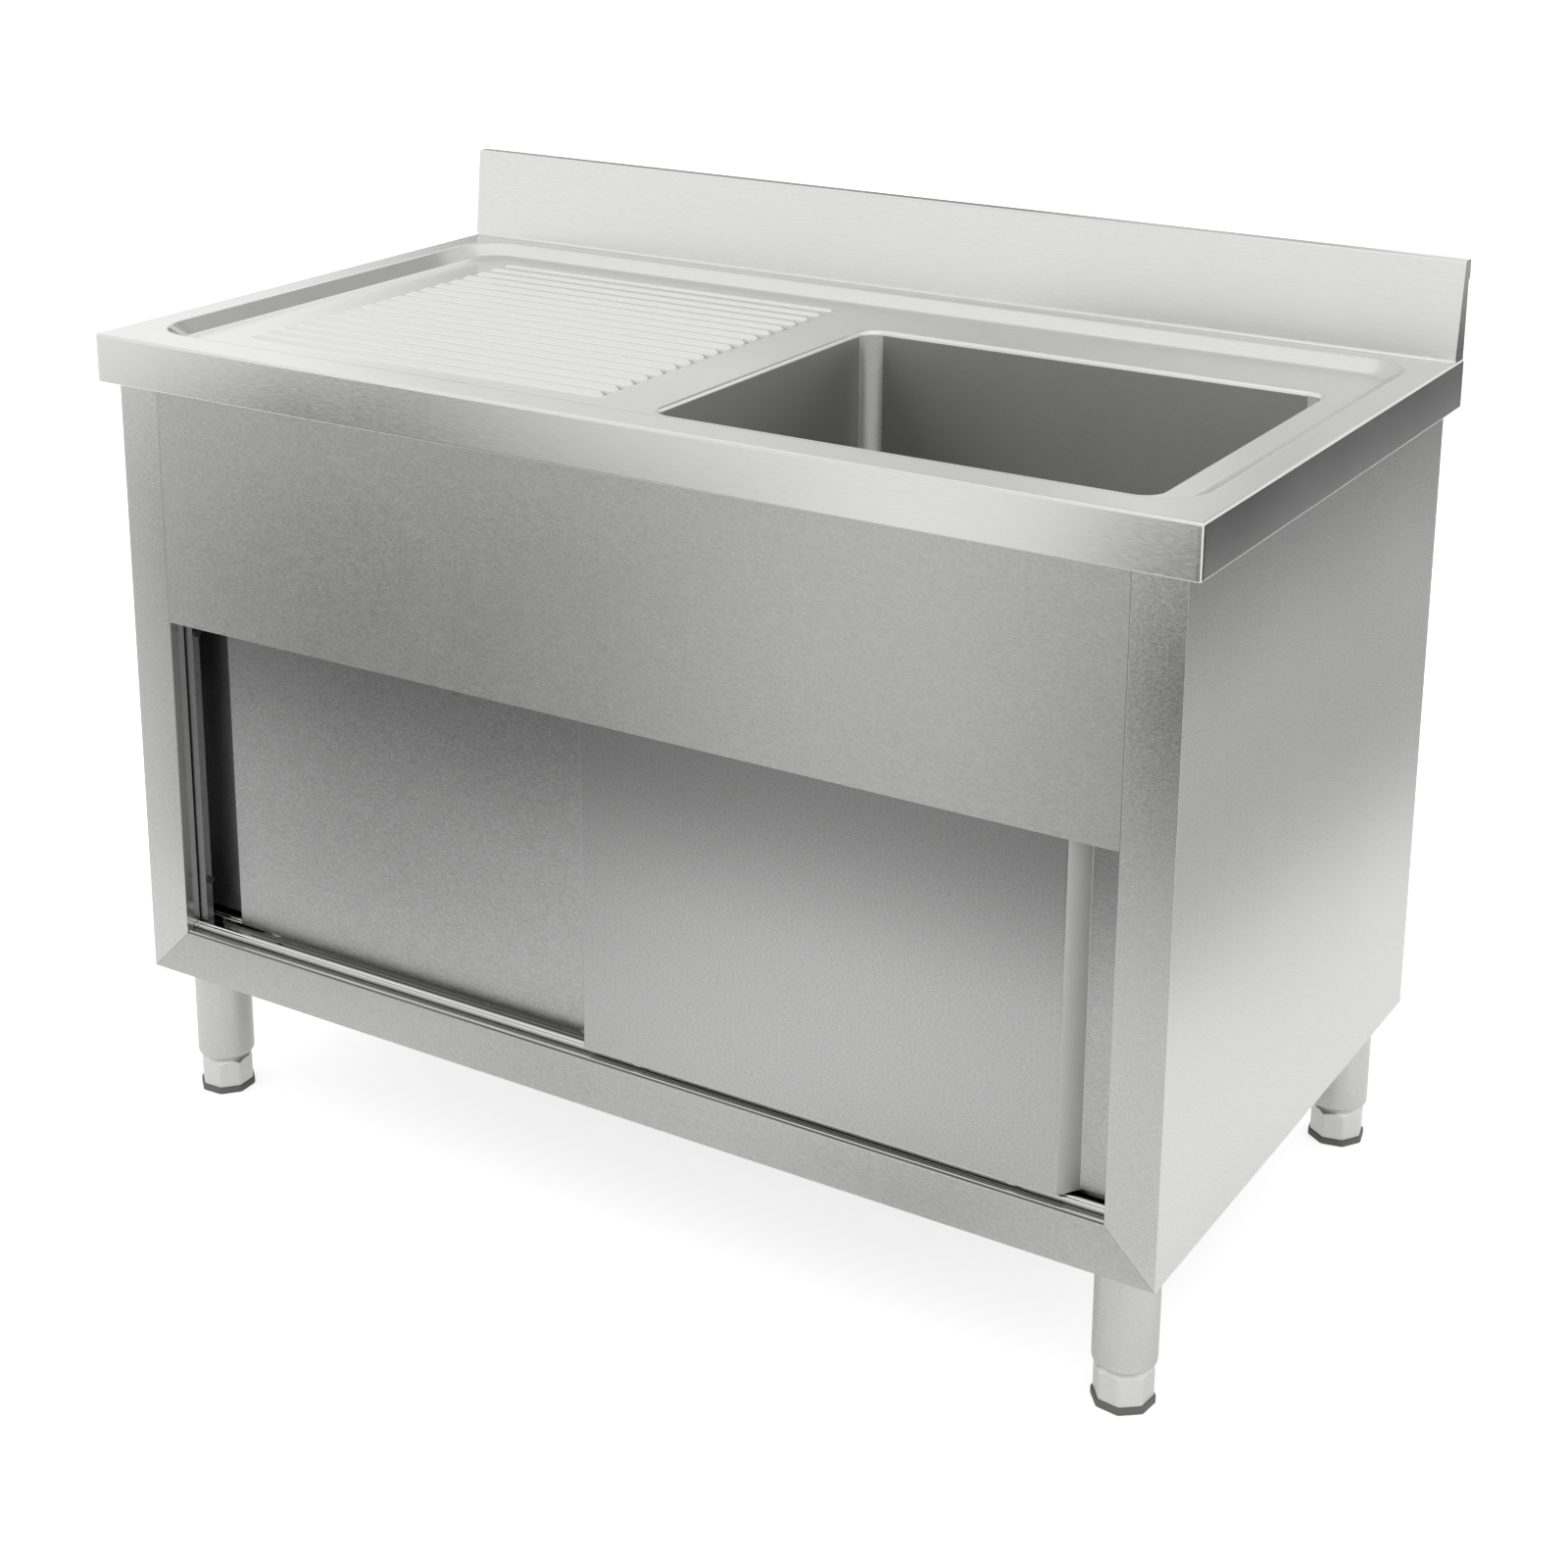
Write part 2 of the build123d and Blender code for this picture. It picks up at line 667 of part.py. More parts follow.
lane_middles = (front_lane_face + door_thickness / 2, rear_lane_face + door_thickness / 2)
lip_bottom = door_top + guide_door_gap
guide_back = lane_middles[1] + guide_slot / 2 + panel_sheet
with BuildPart() as upper_guide:
    with BuildSketch(Plane.YZ):
        with Locations(((frame_back + guide_back) / 2, guide_web + panel_sheet / 2)):
            Rectangle(guide_back - frame_back, panel_sheet)
        with Locations((frame_back + panel_sheet / 2, guide_web + guide_flange / 2)):
            Rectangle(panel_sheet, guide_flange)
        for middle in lane_middles:
            for edge in (-1, 1):
                lip_y = middle + edge * (guide_slot + panel_sheet) / 2
                with Locations((lip_y, (lip_bottom + guide_web) / 2)):
                    Rectangle(panel_sheet, guide_web - lip_bottom)
    extrude(amount=guide_x, both=True)
save(upper_guide.part, "upper_guide")

# ---------------------------------------------------------------- jamb fillers, closing channels, buffers
jamb_foot = opening_floor + track_base
buffer_heights = (opening_floor + buffer_end_margin, door_top - buffer_end_margin)
for side, lane_face, seat_x, hand in (
    (-1, front_lane_face, shelf_x, "left"),
    (1, rear_lane_face, inner_x, "right"),
):
    jamb_face = lane_face + jamb_face_setback
    with BuildPart() as jamb_filler:
        with BuildSketch(Plane.XY.offset(jamb_foot)):
            with Locations((side * (jamb_x + seat_x) / 2, jamb_face + panel_sheet / 2)):
                Rectangle(seat_x - jamb_x, panel_sheet)
            with Locations((side * (jamb_x + panel_sheet / 2), jamb_face + jamb_depth / 2)):
                Rectangle(panel_sheet, jamb_depth)
        extrude(amount=jamb_top - jamb_foot)
    save(jamb_filler.part, hand + "_jamb_filler")
    with BuildPart() as opening_buffers:
        with BuildSketch(Plane.YZ.offset(side * jamb_x)):
            for height in buffer_heights:
                with Locations((jamb_face + jamb_depth / 2, height)):
                    Circle(buffer_radius)
        extrude(amount=-side * buffer_thickness)
    save(opening_buffers.part, hand + "_opening_buffers")

for side, lane_face, seat_x, hand in (
    (1, front_lane_face, shelf_x, "right"),
    (-1, rear_lane_face, inner_x, "left"),
):
    stop_y = lane_face + door_thickness - panel_sheet
    with BuildPart() as closing_channel:
        with BuildSketch(Plane.XY.offset(shelf_top)):
            with Locations((side * (closing_face + seat_x) / 2, stop_y)):
                Rectangle(seat_x - closing_face, closing_width)
            with Locations((side * (closing_face + seat_x + panel_sheet) / 2, stop_y)):
                Rectangle(
                    seat_x - closing_face - panel_sheet,
                    closing_width - 2 * panel_sheet,
                    mode=Mode.SUBTRACT,
                )
        extrude(amount=door_top - shelf_top)
    save(closing_channel.part, hand + "_closing_channel")
    with BuildPart() as closing_buffers:
        with BuildSketch(Plane.YZ.offset(side * closing_face)):
            for height in buffer_heights:
                with Locations((stop_y, height)):
                    Circle(buffer_radius)
        extrude(amount=-side * buffer_thickness)
    save(closing_buffers.part, hand + "_closing_buffers")


# ---------------------------------------------------------------- sliding doors
def make_door(side, lane_face, hand):
    """One door, closed: skin with its finger pull, liner, roller housings, axles, guides, rollers."""
    lane_back = lane_face + door_thickness
    skin_back = lane_back - panel_sheet
    rib_centre = lane_face + rib_from_face
    slot_length = 2 * (roller_flange_radius + wheel_slot_gap)
    slot_width = roller_width + 2 * roller_side_play
    inner_wall = door_inner + panel_sheet
    with BuildPart() as door_skin:
        with BuildSketch(Plane.XY.offset(door_bottom)):
            with BuildLine() as skin_line:
                Polyline(
                    (side * door_inner, skin_back),
                    (side * door_inner, lane_face),
                    (side * pull_edge, lane_face),
                    (side * pull_foot, skin_back - panel_sheet),
                    (side * door_outer, skin_back - panel_sheet),
                )
                fillet(skin_line.vertices().filter_by_position(Axis.Y, lane_face, lane_face), door_bend)
                pull_corner = (side * pull_foot, skin_back - panel_sheet)
                fillet(skin_line.vertices().sort_by_distance(pull_corner)[0], pull_radius)
                offset(amount=panel_sheet, side=Side.LEFT if side > 0 else Side.RIGHT)
            make_face()
        extrude(amount=door_height)
        with BuildSketch(Plane.XY.offset(door_bottom)):
            with BuildLine():
                Polyline(
                    (side * inner_wall, skin_back),
                    (side * inner_wall, lane_face + panel_sheet),
                    (side * (pull_edge - panel_sheet), lane_face + panel_sheet),
                    (side * (pull_foot - 2 * panel_sheet), skin_back),
                    close=True,
                )
            make_face()
            for place in roller_places:
                with Locations((side * place, rib_centre)):
                    Rectangle(slot_length, slot_width, mode=Mode.SUBTRACT)
        extrude(amount=panel_sheet)
        with BuildSketch(Plane.XY.offset(door_top)):
            with BuildLine():
                Polyline(
                    (side * inner_wall, skin_back),
                    (side * inner_wall, lane_face + panel_sheet),
                    (side * (pull_edge - panel_sheet), lane_face + panel_sheet),
                    (side * (pull_foot - 2 * panel_sheet), skin_back),
                    close=True,
                )
            make_face()
        extrude(amount=-panel_sheet)
    save(door_skin.part, hand + "_door_skin")

    with BuildPart() as door_liner:
        with BuildSketch(Plane.XY.offset(door_bottom)):
            with Locations((side * (door_inner + door_outer) / 2, skin_back + panel_sheet / 2)):
                Rectangle(door_outer - door_inner, panel_sheet)
        extrude(amount=door_height)
    save(door_liner.part, hand + "_door_liner")

    ear_face = roller_width / 2 + roller_side_play
    housing_foot = door_bottom + panel_sheet
    housing_top = roller_z + roller_flange_radius + housing_head_room
    with BuildPart() as housings:
        for place in roller_places:
            with BuildSketch(Plane.YZ.offset(side * place)):
                with Locations((rib_centre, (housing_foot + housing_top) / 2)):
                    Rectangle(2 * (ear_face + housing_sheet), housing_top - housing_foot)
                with Locations((rib_centre, (housing_foot + housing_top) / 2 - housing_sheet)):
                    Rectangle(2 * ear_face, housing_top - housing_foot, mode=Mode.SUBTRACT)
            extrude(amount=housing_length / 2, both=True)
            with BuildSketch(Plane.XZ.offset(-rib_centre)):
                with Locations((side * place, roller_z)):
                    Circle(axle_radius)
            extrude(amount=roller_width, both=True, mode=Mode.SUBTRACT)
    save(housings.part, hand + "_door_roller_housings")

    with BuildPart() as axles:
        for place in roller_places:
            with BuildSketch(Plane.XZ.offset(-rib_centre)):
                with Locations((side * place, roller_z)):
                    Circle(axle_radius)
            extrude(amount=ear_face + housing_sheet, both=True)
    save(axles.part, hand + "_door_axles")

    with BuildPart() as top_guides:
        with BuildSketch(Plane.XY.offset(door_top)):
            for place in roller_places:
                with Locations((side * place, lane_face + door_thickness / 2)):
                    Rectangle(guide_block_length, guide_block_width)
        extrude(amount=guide_block_height)
        fillet(top_guides.edges().filter_by(Axis.Z), guide_block_round)
    save(top_guides.part, hand + "_door_top_guides")

    for place, end in zip(roller_places, ("inner", "outer")):
        with BuildPart() as roller:
            bore_x = side * place + axle_radius + axle_fit
            groove_x = side * place + roller_groove_radius
            flange_x = side * place + roller_flange_radius
            with BuildSketch(Plane.XY.offset(roller_z)):
                with BuildLine():
                    Polyline(
                        (bore_x, rib_centre - roller_width / 2),
                        (flange_x, rib_centre - roller_width / 2),
                        (flange_x, rib_centre - groove_width / 2),
                        (groove_x, rib_centre - groove_width / 2),
                        (groove_x, rib_centre + groove_width / 2),
                        (flange_x, rib_centre + groove_width / 2),
                        (flange_x, rib_centre + roller_width / 2),
                        (bore_x, rib_centre + roller_width / 2),
                        close=True,
                    )
                make_face()
            revolve(axis=Axis((side * place, rib_centre, roller_z), (0, 1, 0)))
        save(roller.part, hand + "_door_" + end + "_roller")


make_door(1, front_lane_face, "right")
make_door(-1, rear_lane_face, "left")

# ---------------------------------------------------------------- legs and adjustable feet
stem_bore = stem_radius + stem_fit
leg_places = {
    "front_left": (-leg_x, leg_front_y),
    "front_right": (leg_x, leg_front_y),
    "rear_left": (-leg_x, leg_rear_y),
    "rear_right": (leg_x, leg_rear_y),
}
foot_shoulder = pad_height + foot_body_height
foot_top = leg_end_height - running_gap

for corner, (corner_x, corner_y) in leg_places.items():
    with BuildPart() as leg:
        with BuildSketch(Plane.XY.offset(leg_end_height)):
            with Locations((corner_x, corner_y)):
                Circle(leg_radius)
        extrude(amount=gusset_bottom - leg_end_height)
        fillet(leg.edges().filter_by(GeomType.CIRCLE).sort_by(Axis.Z)[0], leg_end_round)
        with BuildSketch(Plane.XY.offset(leg_end_height)):
            with Locations((corner_x, corner_y)):
                Circle(leg_radius - leg_end_round)
        extrude(amount=gusset_bottom - leg_end_height, mode=Mode.SUBTRACT)
        with BuildSketch(Plane.XY.offset(leg_end_height + leg_end_round)):
            with Locations((corner_x, corner_y)):
                Circle(leg_radius - leg_wall)
        extrude(amount=gusset_bottom - leg_end_height - leg_end_round, mode=Mode.SUBTRACT)
    save(leg.part, corner + "_leg")

    with BuildPart() as foot:
        with BuildSketch(Plane.XY.offset(pad_height)):
            with Locations((corner_x, corner_y)):
                RegularPolygon(
                    foot_flats / 2, foot_sides, major_radius=False, rotation=foot_turns[corner]
                )
        extrude(amount=foot_body_height)
        with BuildSketch(Plane.XY.offset(foot_shoulder)):
            with Locations((corner_x, corner_y)):
                Circle(foot_flats / 2)
        with BuildSketch(Plane.XY.offset(foot_shoulder + foot_chamfer_height)):
            with Locations((corner_x, corner_y)):
                Circle(foot_top_radius)
        loft()
        with BuildSketch(Plane.XY.offset(foot_shoulder)):
            with Locations((corner_x, corner_y)):
                Circle(foot_top_radius)
        extrude(amount=foot_top - foot_shoulder)
        with BuildSketch(Plane.XY.offset(foot_shoulder)):
            with Locations((corner_x, corner_y)):
                Circle(stem_radius)
        extrude(amount=foot_top - foot_shoulder + stem_length)
        with BuildSketch(Plane.XY.offset(pad_height - pad_socket_depth)):
            with Locations((corner_x, corner_y)):
                Circle(pad_socket_radius)
        extrude(amount=pad_socket_depth)
    save(foot.part, corner + "_foot")

    with BuildPart() as pad:
        with BuildSketch():
            with Locations((corner_x, corner_y)):
                RegularPolygon(
                    pad_flats / 2, foot_sides, major_radius=False, rotation=foot_turns[corner]
                )
        extrude(amount=pad_height)
        with BuildSketch(Plane.XY.offset(pad_height)):
            with Locations((corner_x, corner_y)):
                Circle(pad_socket_radius)
        extrude(amount=-pad_socket_depth, mode=Mode.SUBTRACT)
    save(pad.part, corner + "_foot_pad")

with BuildPart() as leg_inserts:
    with BuildSketch(Plane.XY.offset(leg_end_height)):
        with Locations(*leg_places.values()):
            Circle(leg_radius - leg_end_round)
            Circle(stem_bore, mode=Mode.SUBTRACT)
    extrude(amount=leg_end_round)
    with BuildSketch(Plane.XY.offset(leg_end_height + leg_end_round)):
        with Locations(*leg_places.values()):
            Circle(leg_radius - leg_wall)
            Circle(stem_bore, mode=Mode.SUBTRACT)
    extrude(amount=insert_height)
save(leg_inserts.part, "leg_inserts")
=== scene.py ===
import bmesh
import bpy
import numpy as np
from mathutils import Euler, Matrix
from mathutils.geometry import delaunay_2d_cdt


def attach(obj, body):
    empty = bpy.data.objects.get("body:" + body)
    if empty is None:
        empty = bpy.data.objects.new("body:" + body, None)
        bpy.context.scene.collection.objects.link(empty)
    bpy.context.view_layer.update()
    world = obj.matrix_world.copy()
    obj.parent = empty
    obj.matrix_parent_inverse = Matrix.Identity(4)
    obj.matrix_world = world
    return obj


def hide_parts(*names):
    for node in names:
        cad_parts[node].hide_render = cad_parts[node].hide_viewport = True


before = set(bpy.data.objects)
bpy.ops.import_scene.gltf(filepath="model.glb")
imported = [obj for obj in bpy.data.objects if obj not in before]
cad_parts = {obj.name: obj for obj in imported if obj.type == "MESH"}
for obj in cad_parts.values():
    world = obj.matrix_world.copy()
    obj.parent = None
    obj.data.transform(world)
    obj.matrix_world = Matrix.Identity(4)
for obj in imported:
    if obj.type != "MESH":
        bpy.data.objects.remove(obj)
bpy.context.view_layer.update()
MM = 0.001

# ---------------------------------------------------------------- studio
# A white sweep under even light, as a catalogue shot of polished steel is made. The steel shows only
# what it mirrors, so four grey flags, none brighter than white, lie where its faces look, and are seen
# in reflections alone. Two weak soft boxes light the whole object.


def linear(colour):
    """An sRGB colour written as #rrggbb, as the linear red, green, blue and alpha that a shader takes."""
    levels = np.array([int(colour[place:place + 2], 16) for place in (1, 3, 5)]) / 255
    light = np.where(levels <= 0.04045, levels / 12.92, ((levels + 0.055) / 1.055) ** 2.4)
    return (*light.tolist(), 1.0)


def add_node(tree, kind, inputs=None, **settings):
    """Adds one node. Inputs maps a socket's name or number to a value or to another node's socket."""
    node = tree.nodes.new(kind)
    for setting, value in settings.items():
        setattr(node, setting, value)
    for socket, value in (inputs or {}).items():
        if isinstance(value, bpy.types.NodeSocket):
            tree.links.new(value, node.inputs[socket])
        else:
            node.inputs[socket].default_value = value
    return node


def bare_material(name):
    """A new material with an empty node tree, and that tree."""
    material = bpy.data.materials.new(name)
    material.use_nodes = True
    material.node_tree.nodes.clear()
    return material, material.node_tree


def seen_by(tree, *rays):
    """1 for rays of the named kinds, and 0 for the rest."""
    path = add_node(tree, "ShaderNodeLightPath")
    seen = path.outputs[rays[0]]
    for ray in rays[1:]:
        seen = add_node(tree, "ShaderNodeMath", {0: seen, 1: path.outputs[ray]},
                        operation="MAXIMUM").outputs[0]
    return seen


FLOOR_HALF = 20.0
floor_mesh = bpy.data.meshes.new("studio_floor")
floor_mesh.from_pydata([(-FLOOR_HALF, -FLOOR_HALF, 0), (FLOOR_HALF, -FLOOR_HALF, 0),
                        (FLOOR_HALF, FLOOR_HALF, 0), (-FLOOR_HALF, FLOOR_HALF, 0)], [], [(0, 1, 2, 3)])
studio_floor = bpy.data.objects.new("studio_floor", floor_mesh)
bpy.context.scene.collection.objects.link(studio_floor)
# Matt white paper: the weak glow takes its lit parts to pure white and leaves the shadow. Mirror images
# get less of the glow, so that the shadow under the cabinet shows in the legs.
DIRECT_GLOW, MIRRORED_GLOW = 0.68, 0.36
paper, tree = bare_material("matt_white_paper")
matt = add_node(tree, "ShaderNodeBsdfDiffuse", {"Color": linear("#e6e6e6")})
direct = add_node(tree, "ShaderNodeMath", {0: seen_by(tree, "Is Camera Ray", "Is Transmission Ray"),
                  1: DIRECT_GLOW}, operation="MULTIPLY")
glow_level = add_node(tree, "ShaderNodeMath", {0: seen_by(tree, "Is Glossy Ray"), 1: MIRRORED_GLOW,
                      2: direct.outputs[0]}, operation="MULTIPLY_ADD")
glow = add_node(tree, "ShaderNodeEmission", {"Strength": glow_level.outputs[0]})
both = add_node(tree, "ShaderNodeAddShader", {0: matt.outputs[0], 1: glow.outputs[0]})
add_node(tree, "ShaderNodeOutputMaterial", {"Surface": both.outputs[0]})
floor_mesh.materials.append(paper)

world = bpy.data.worlds.new("white_room")
bpy.context.scene.world = world
world.use_nodes = True
world.node_tree.nodes.clear()
room_seen = seen_by(world.node_tree, "Is Camera Ray", "Is Glossy Ray", "Is Transmission Ray")
room_level = add_node(world.node_tree, "ShaderNodeMapRange",
                      {"Value": room_seen, "To Min": 0.85, "To Max": 1.0})
room = add_node(world.node_tree, "ShaderNodeBackground",
                {"Color": linear("#ffffff"), "Strength": room_level.outputs[0]})
add_node(world.node_tree, "ShaderNodeOutputWorld", {"Surface": room.outputs[0]})


def grid_faces(rows, columns, first=0, closed=False):
    """The quads of a grid of points kept row by row. A closed grid's last column meets its first."""
    r = np.arange(rows - 1)[:, None] * columns
    c = np.arange(columns if closed else columns - 1)
    n = (c + 1) % columns
    return (first + np.stack([r + c, r + n, r + columns + n, r + columns + c], -1)).reshape(-1, 4).tolist()


def grey_flag(name, corner, along, across, grey):
    """A flat card of 64 x 64 cells from a corner along two edges. Its grey is a function of the place in
    metres, never above white, kept as an attribute, and it glows at that grey."""
    share = np.linspace(0, 1, 65)
    points = np.array(corner) + share[:, None, None] * np.array(along) + share[:, None] * np.array(across)
    mesh = bpy.data.meshes.new(name)
    mesh.from_pydata(points.reshape(-1, 3).tolist(), [], grid_faces(65, 65))
    mesh.attributes.new("grey", "FLOAT", "POINT").data.foreach_set(
        "value", np.clip(grey(*np.moveaxis(points, -1, 0)), 0, 1).ravel())
    flag = bpy.data.objects.new(name, mesh)
    bpy.context.scene.collection.objects.link(flag)
    flag.visible_camera = flag.visible_diffuse = flag.visible_transmission = flag.visible_shadow = False
    card, tree = bare_material(name)
    level = add_node(tree, "ShaderNodeAttribute", attribute_name="grey")
    lit = add_node(tree, "ShaderNodeEmission", {"Strength": level.outputs["Fac"]})
    add_node(tree, "ShaderNodeOutputMaterial", {"Surface": lit.outputs[0]})
    mesh.materials.append(card)


def step(value, low, high):
    """0 below low, 1 above high, and a smooth S between them."""
    t = np.clip((value - low) / (high - low), 0, 1)
    return t * t * (3 - 2 * t)


def front_grey(x, y, z):
    """Dark in the middle, paler to the right and on the strip nearest the object, and grey where the two
    posts look: its side borders run away from the object along the posts' sight lines."""
    past_left = step(-0.90 + 1.02 * (y + 0.74) - x, 0.0, 0.13)
    from_right = x - 0.42 - 0.42 * (y + 0.64)
    pale = 1.18 + 0.9 * step(-y, 1.4, 1.8) - 1.0 * step(-y, 2.05, 2.35)
    pale = pale * step(from_right, -1.05, -0.35) * (1 - 0.80 * np.exp(-((y + 1.25) / 0.25) ** 2))
    far = 0.24 - 0.24 * step(-x, 1.3, 1.9) + pale
    foot = 2.0 - 1.45 * step(x, -0.65, -0.2) - 0.47 * step(x, -0.1, 0.3)
    near = (0.90 + 0.55 * step(x, -0.3, 0.1)) * (1 + (foot - 1) * step(y, -0.63, -0.56))
    grey = far + (near - far) * step(y, -1.0, -0.5)
    grey = grey + (1.02 + 0.34 * step(y, -1.2, -0.6) - grey) * past_left
    grey = grey + (0.80 * step(y, -2.1, -0.9) - grey) * step(from_right, -0.20, -0.07)
    grey = grey + (1.07 - grey) * step(-y, 2.45, 2.65) * (
        1 - 0.8 * np.exp(-((x + 2.4) / 0.42) ** 2)) * (
        1 - 0.95 * step(x, -0.8, -0.4)) * (1 - 0.3 * np.exp(-((x + 1.15) / 0.3) ** 2))
    return grey + (1 - grey) * step(-y, 3.1, 3.4)


def side_grey(x, y, z):
    """Pale close to the object, mid grey further out, then a dark band that the worktop's side edge sees,
    and grey again far to the rear, where the end of the upstand looks."""
    panel = 1.32 - 0.84 * step(x + 0.09 * step(y, 0.6, 1.6), 0.83, 1.01)
    panel = panel + 1.4 * np.exp(-((x - 1.32) / 0.11) ** 2)
    panel = panel - 0.22 * np.exp(-((x - 1.12) / 0.13) ** 2)
    panel = 1.1 + (panel - 1.1) * step(y, 0.2, 0.6)
    return panel * (1 - step(x, 1.37, 1.44) * step(y, 0.2, 0.6)) + 0.4 * step(y, 3.9, 4.6) * step(x, 1.4, 1.5)


def sky_grey(x, y, z):
    """Grey low down at the back, which the rear of the worktop sees, darkest in its middle and pale at
    the right, and a second grey high up for the slope at the drainboard's left."""
    right = step(x, -2.3, -1.0)
    low = 0.72 + 0.45 * step(-x, 4.2, 6.0) + 0.60 * right * (1 - 1.2 * np.exp(-((x + 1.25) / 0.35) ** 2))
    low = low - 0.70 * (1 - step(z, 1.95, 2.35)) * (1 - right) * (1 - 0.5 * step(-x, 3.8, 4.6))
    high = 1.0 - 0.55 * step(x, -3.6, -2.4)
    return low + (high - low) * step(z, 2.7, 3.4)


def upstand_grey(x, y, z):
    """White low down, which the upstand mirrors. Higher up, which the rear half of the worktop mirrors by
    way of the upstand, it has a grey patch at the left."""
    return 1 - 0.4 * np.exp(-((x + 2.9) / 0.5) ** 2) * step(z, 1.9, 2.8)


grey_flag("front_flag", (-3.6, -4.0, 0.002), (5.6, 0, 0), (0, 3.48, 0), front_grey)
grey_flag("side_flag", (0.68, -0.4, 0.002), (2.74, 0, 0), (0, 8.0, 0), side_grey)
grey_flag("sky_flag", (-8.0, 5.0, 0.02), (9.0, 0, 0), (0, 0, 7.0), sky_grey)
grey_flag("upstand_flag", (-7.0, -5.2, 0.02), (9.5, 0, 0), (0, 0, 5.4), upstand_grey)


def soft_box(name, place, target, width, height, power):
    """A flat lamp that faces its target."""
    data = bpy.data.lights.new(name, "AREA")
    data.shape, data.size, data.size_y, data.energy = "RECTANGLE", width, height, power
    lamp = bpy.data.objects.new(name, data)
    bpy.context.scene.collection.objects.link(lamp)
    lamp.location = place
    aim = np.array(target) - np.array(place)
    lamp.rotation_euler = (np.arctan2(np.hypot(aim[0], aim[1]), -aim[2]), 0, np.arctan2(-aim[0], aim[1]))


soft_box("drainboard_box", (-2.6, 3.4, 2.3), (-0.3, 0.0, 0.85), 3.0, 1.4, 1.5)
soft_box("overhead_box", (0.6, -1.0, 3.6), (0, 0, 0.6), 2.6, 2.6, 4)

camera_data = bpy.data.cameras.new("camera")
camera_data.lens, camera_data.sensor_width, camera_data.shift_y = 61.413, 36, -0.21875
camera = bpy.data.objects.new("camera", camera_data)
bpy.context.scene.collection.objects.link(camera)
camera.location = (1.3604, -2.2044, 1.4683)
camera.rotation_euler = Euler(np.radians((74.538, -0.357, 31.47)))
bpy.context.scene.camera = camera
bpy.context.scene.view_settings.view_transform = "Standard"

# ---------------------------------------------------------------- worktop
# One stainless steel sheet, 1.2 mm thick, pressed for the drainboard and its ribs, folded down at
# the front and sides and up at the back, with its corners welded and ground flush.


def satin_steel(name, colour, dark, roughness, spread, grain, along, bump, painted_shade_fall=None, upright_gloss=0.0):
    """Stainless steel with a ground finish: a mirror-like metal whose fine grain, long along X, shifts
    its roughness, its colour and its surface a little. Painted shade, given as a height in mm, a depth below
    it, and the share of the colour that is left at that height, darkens the colour towards that height.
    Upright gloss draws reflections out along Z."""
    material, tree = bare_material(name)
    place = add_node(tree, "ShaderNodeTexCoord")
    stretch = add_node(tree, "ShaderNodeMapping", {"Vector": place.outputs["Object"],
                       "Scale": (1 / (along * MM), 1 / (grain * MM), 1 / (grain * MM))})
    lines = add_node(tree, "ShaderNodeTexNoise", {"Vector": stretch.outputs[0], "Scale": 1.0,
                     "Detail": 2.0, "Roughness": 0.6})
    cloud_size = 140 * MM
    handling = add_node(tree, "ShaderNodeTexNoise", {"Vector": place.outputs["Object"],
                        "Scale": 1 / cloud_size, "Detail": 2.0})
    rough = add_node(tree, "ShaderNodeMapRange", {"Value": lines.outputs["Fac"], "From Min": 0.3,
                     "From Max": 0.7, "To Min": roughness - spread, "To Max": roughness + spread})
    cloudy = add_node(tree, "ShaderNodeMapRange", {"Value": handling.outputs["Fac"], "From Min": 0.3,
                      "From Max": 0.7, "To Min": -0.01, "To Max": 0.01})
    rough = add_node(tree, "ShaderNodeMath", {0: rough.outputs[0], 1: cloudy.outputs[0]})
    tint = add_node(tree, "ShaderNodeMapRange", {"Value": lines.outputs["Fac"], "From Min": 0.3,
                    "From Max": 0.7})
    shade = add_node(tree, "ShaderNodeMix", {"Factor": tint.outputs[0], 6: linear(dark),
                     7: linear(colour)}, data_type="RGBA")
    # Painted shade: the colour is multiplied down towards the given height.
    if painted_shade_fall:
        height = add_node(tree, "ShaderNodeSeparateXYZ", {0: place.outputs["Object"]})
        left = add_node(tree, "ShaderNodeMapRange",
                        {"Value": height.outputs["Z"], "From Min": (painted_shade_fall[0] - painted_shade_fall[1]) * MM,
                         "From Max": painted_shade_fall[0] * MM, "To Min": 1.0, "To Max": painted_shade_fall[2]},
                        interpolation_type="SMOOTHSTEP")
        shade = add_node(tree, "ShaderNodeMix", {"Factor": 1.0, 6: shade.outputs[2], 7: left.outputs[0]},
                         data_type="RGBA", blend_type="MULTIPLY")
    relief = add_node(tree, "ShaderNodeBump", {"Height": lines.outputs["Fac"], "Strength": bump,
                      "Distance": 0.1 * MM})
    metal = add_node(tree, "ShaderNodeBsdfPrincipled", {"Base Color": shade.outputs[2], "Metallic": 1.0,
                     "Roughness": rough.outputs[0], "Normal": relief.outputs[0]})
    if upright_gloss:
        up = add_node(tree, "ShaderNodeCombineXYZ", {"Z": 1.0})
        metal.inputs["Anisotropic"].default_value = upright_gloss
        tree.links.new(up.outputs[0], metal.inputs["Tangent"])
    add_node(tree, "ShaderNodeOutputMaterial", {"Surface": metal.outputs[0]})
    return material


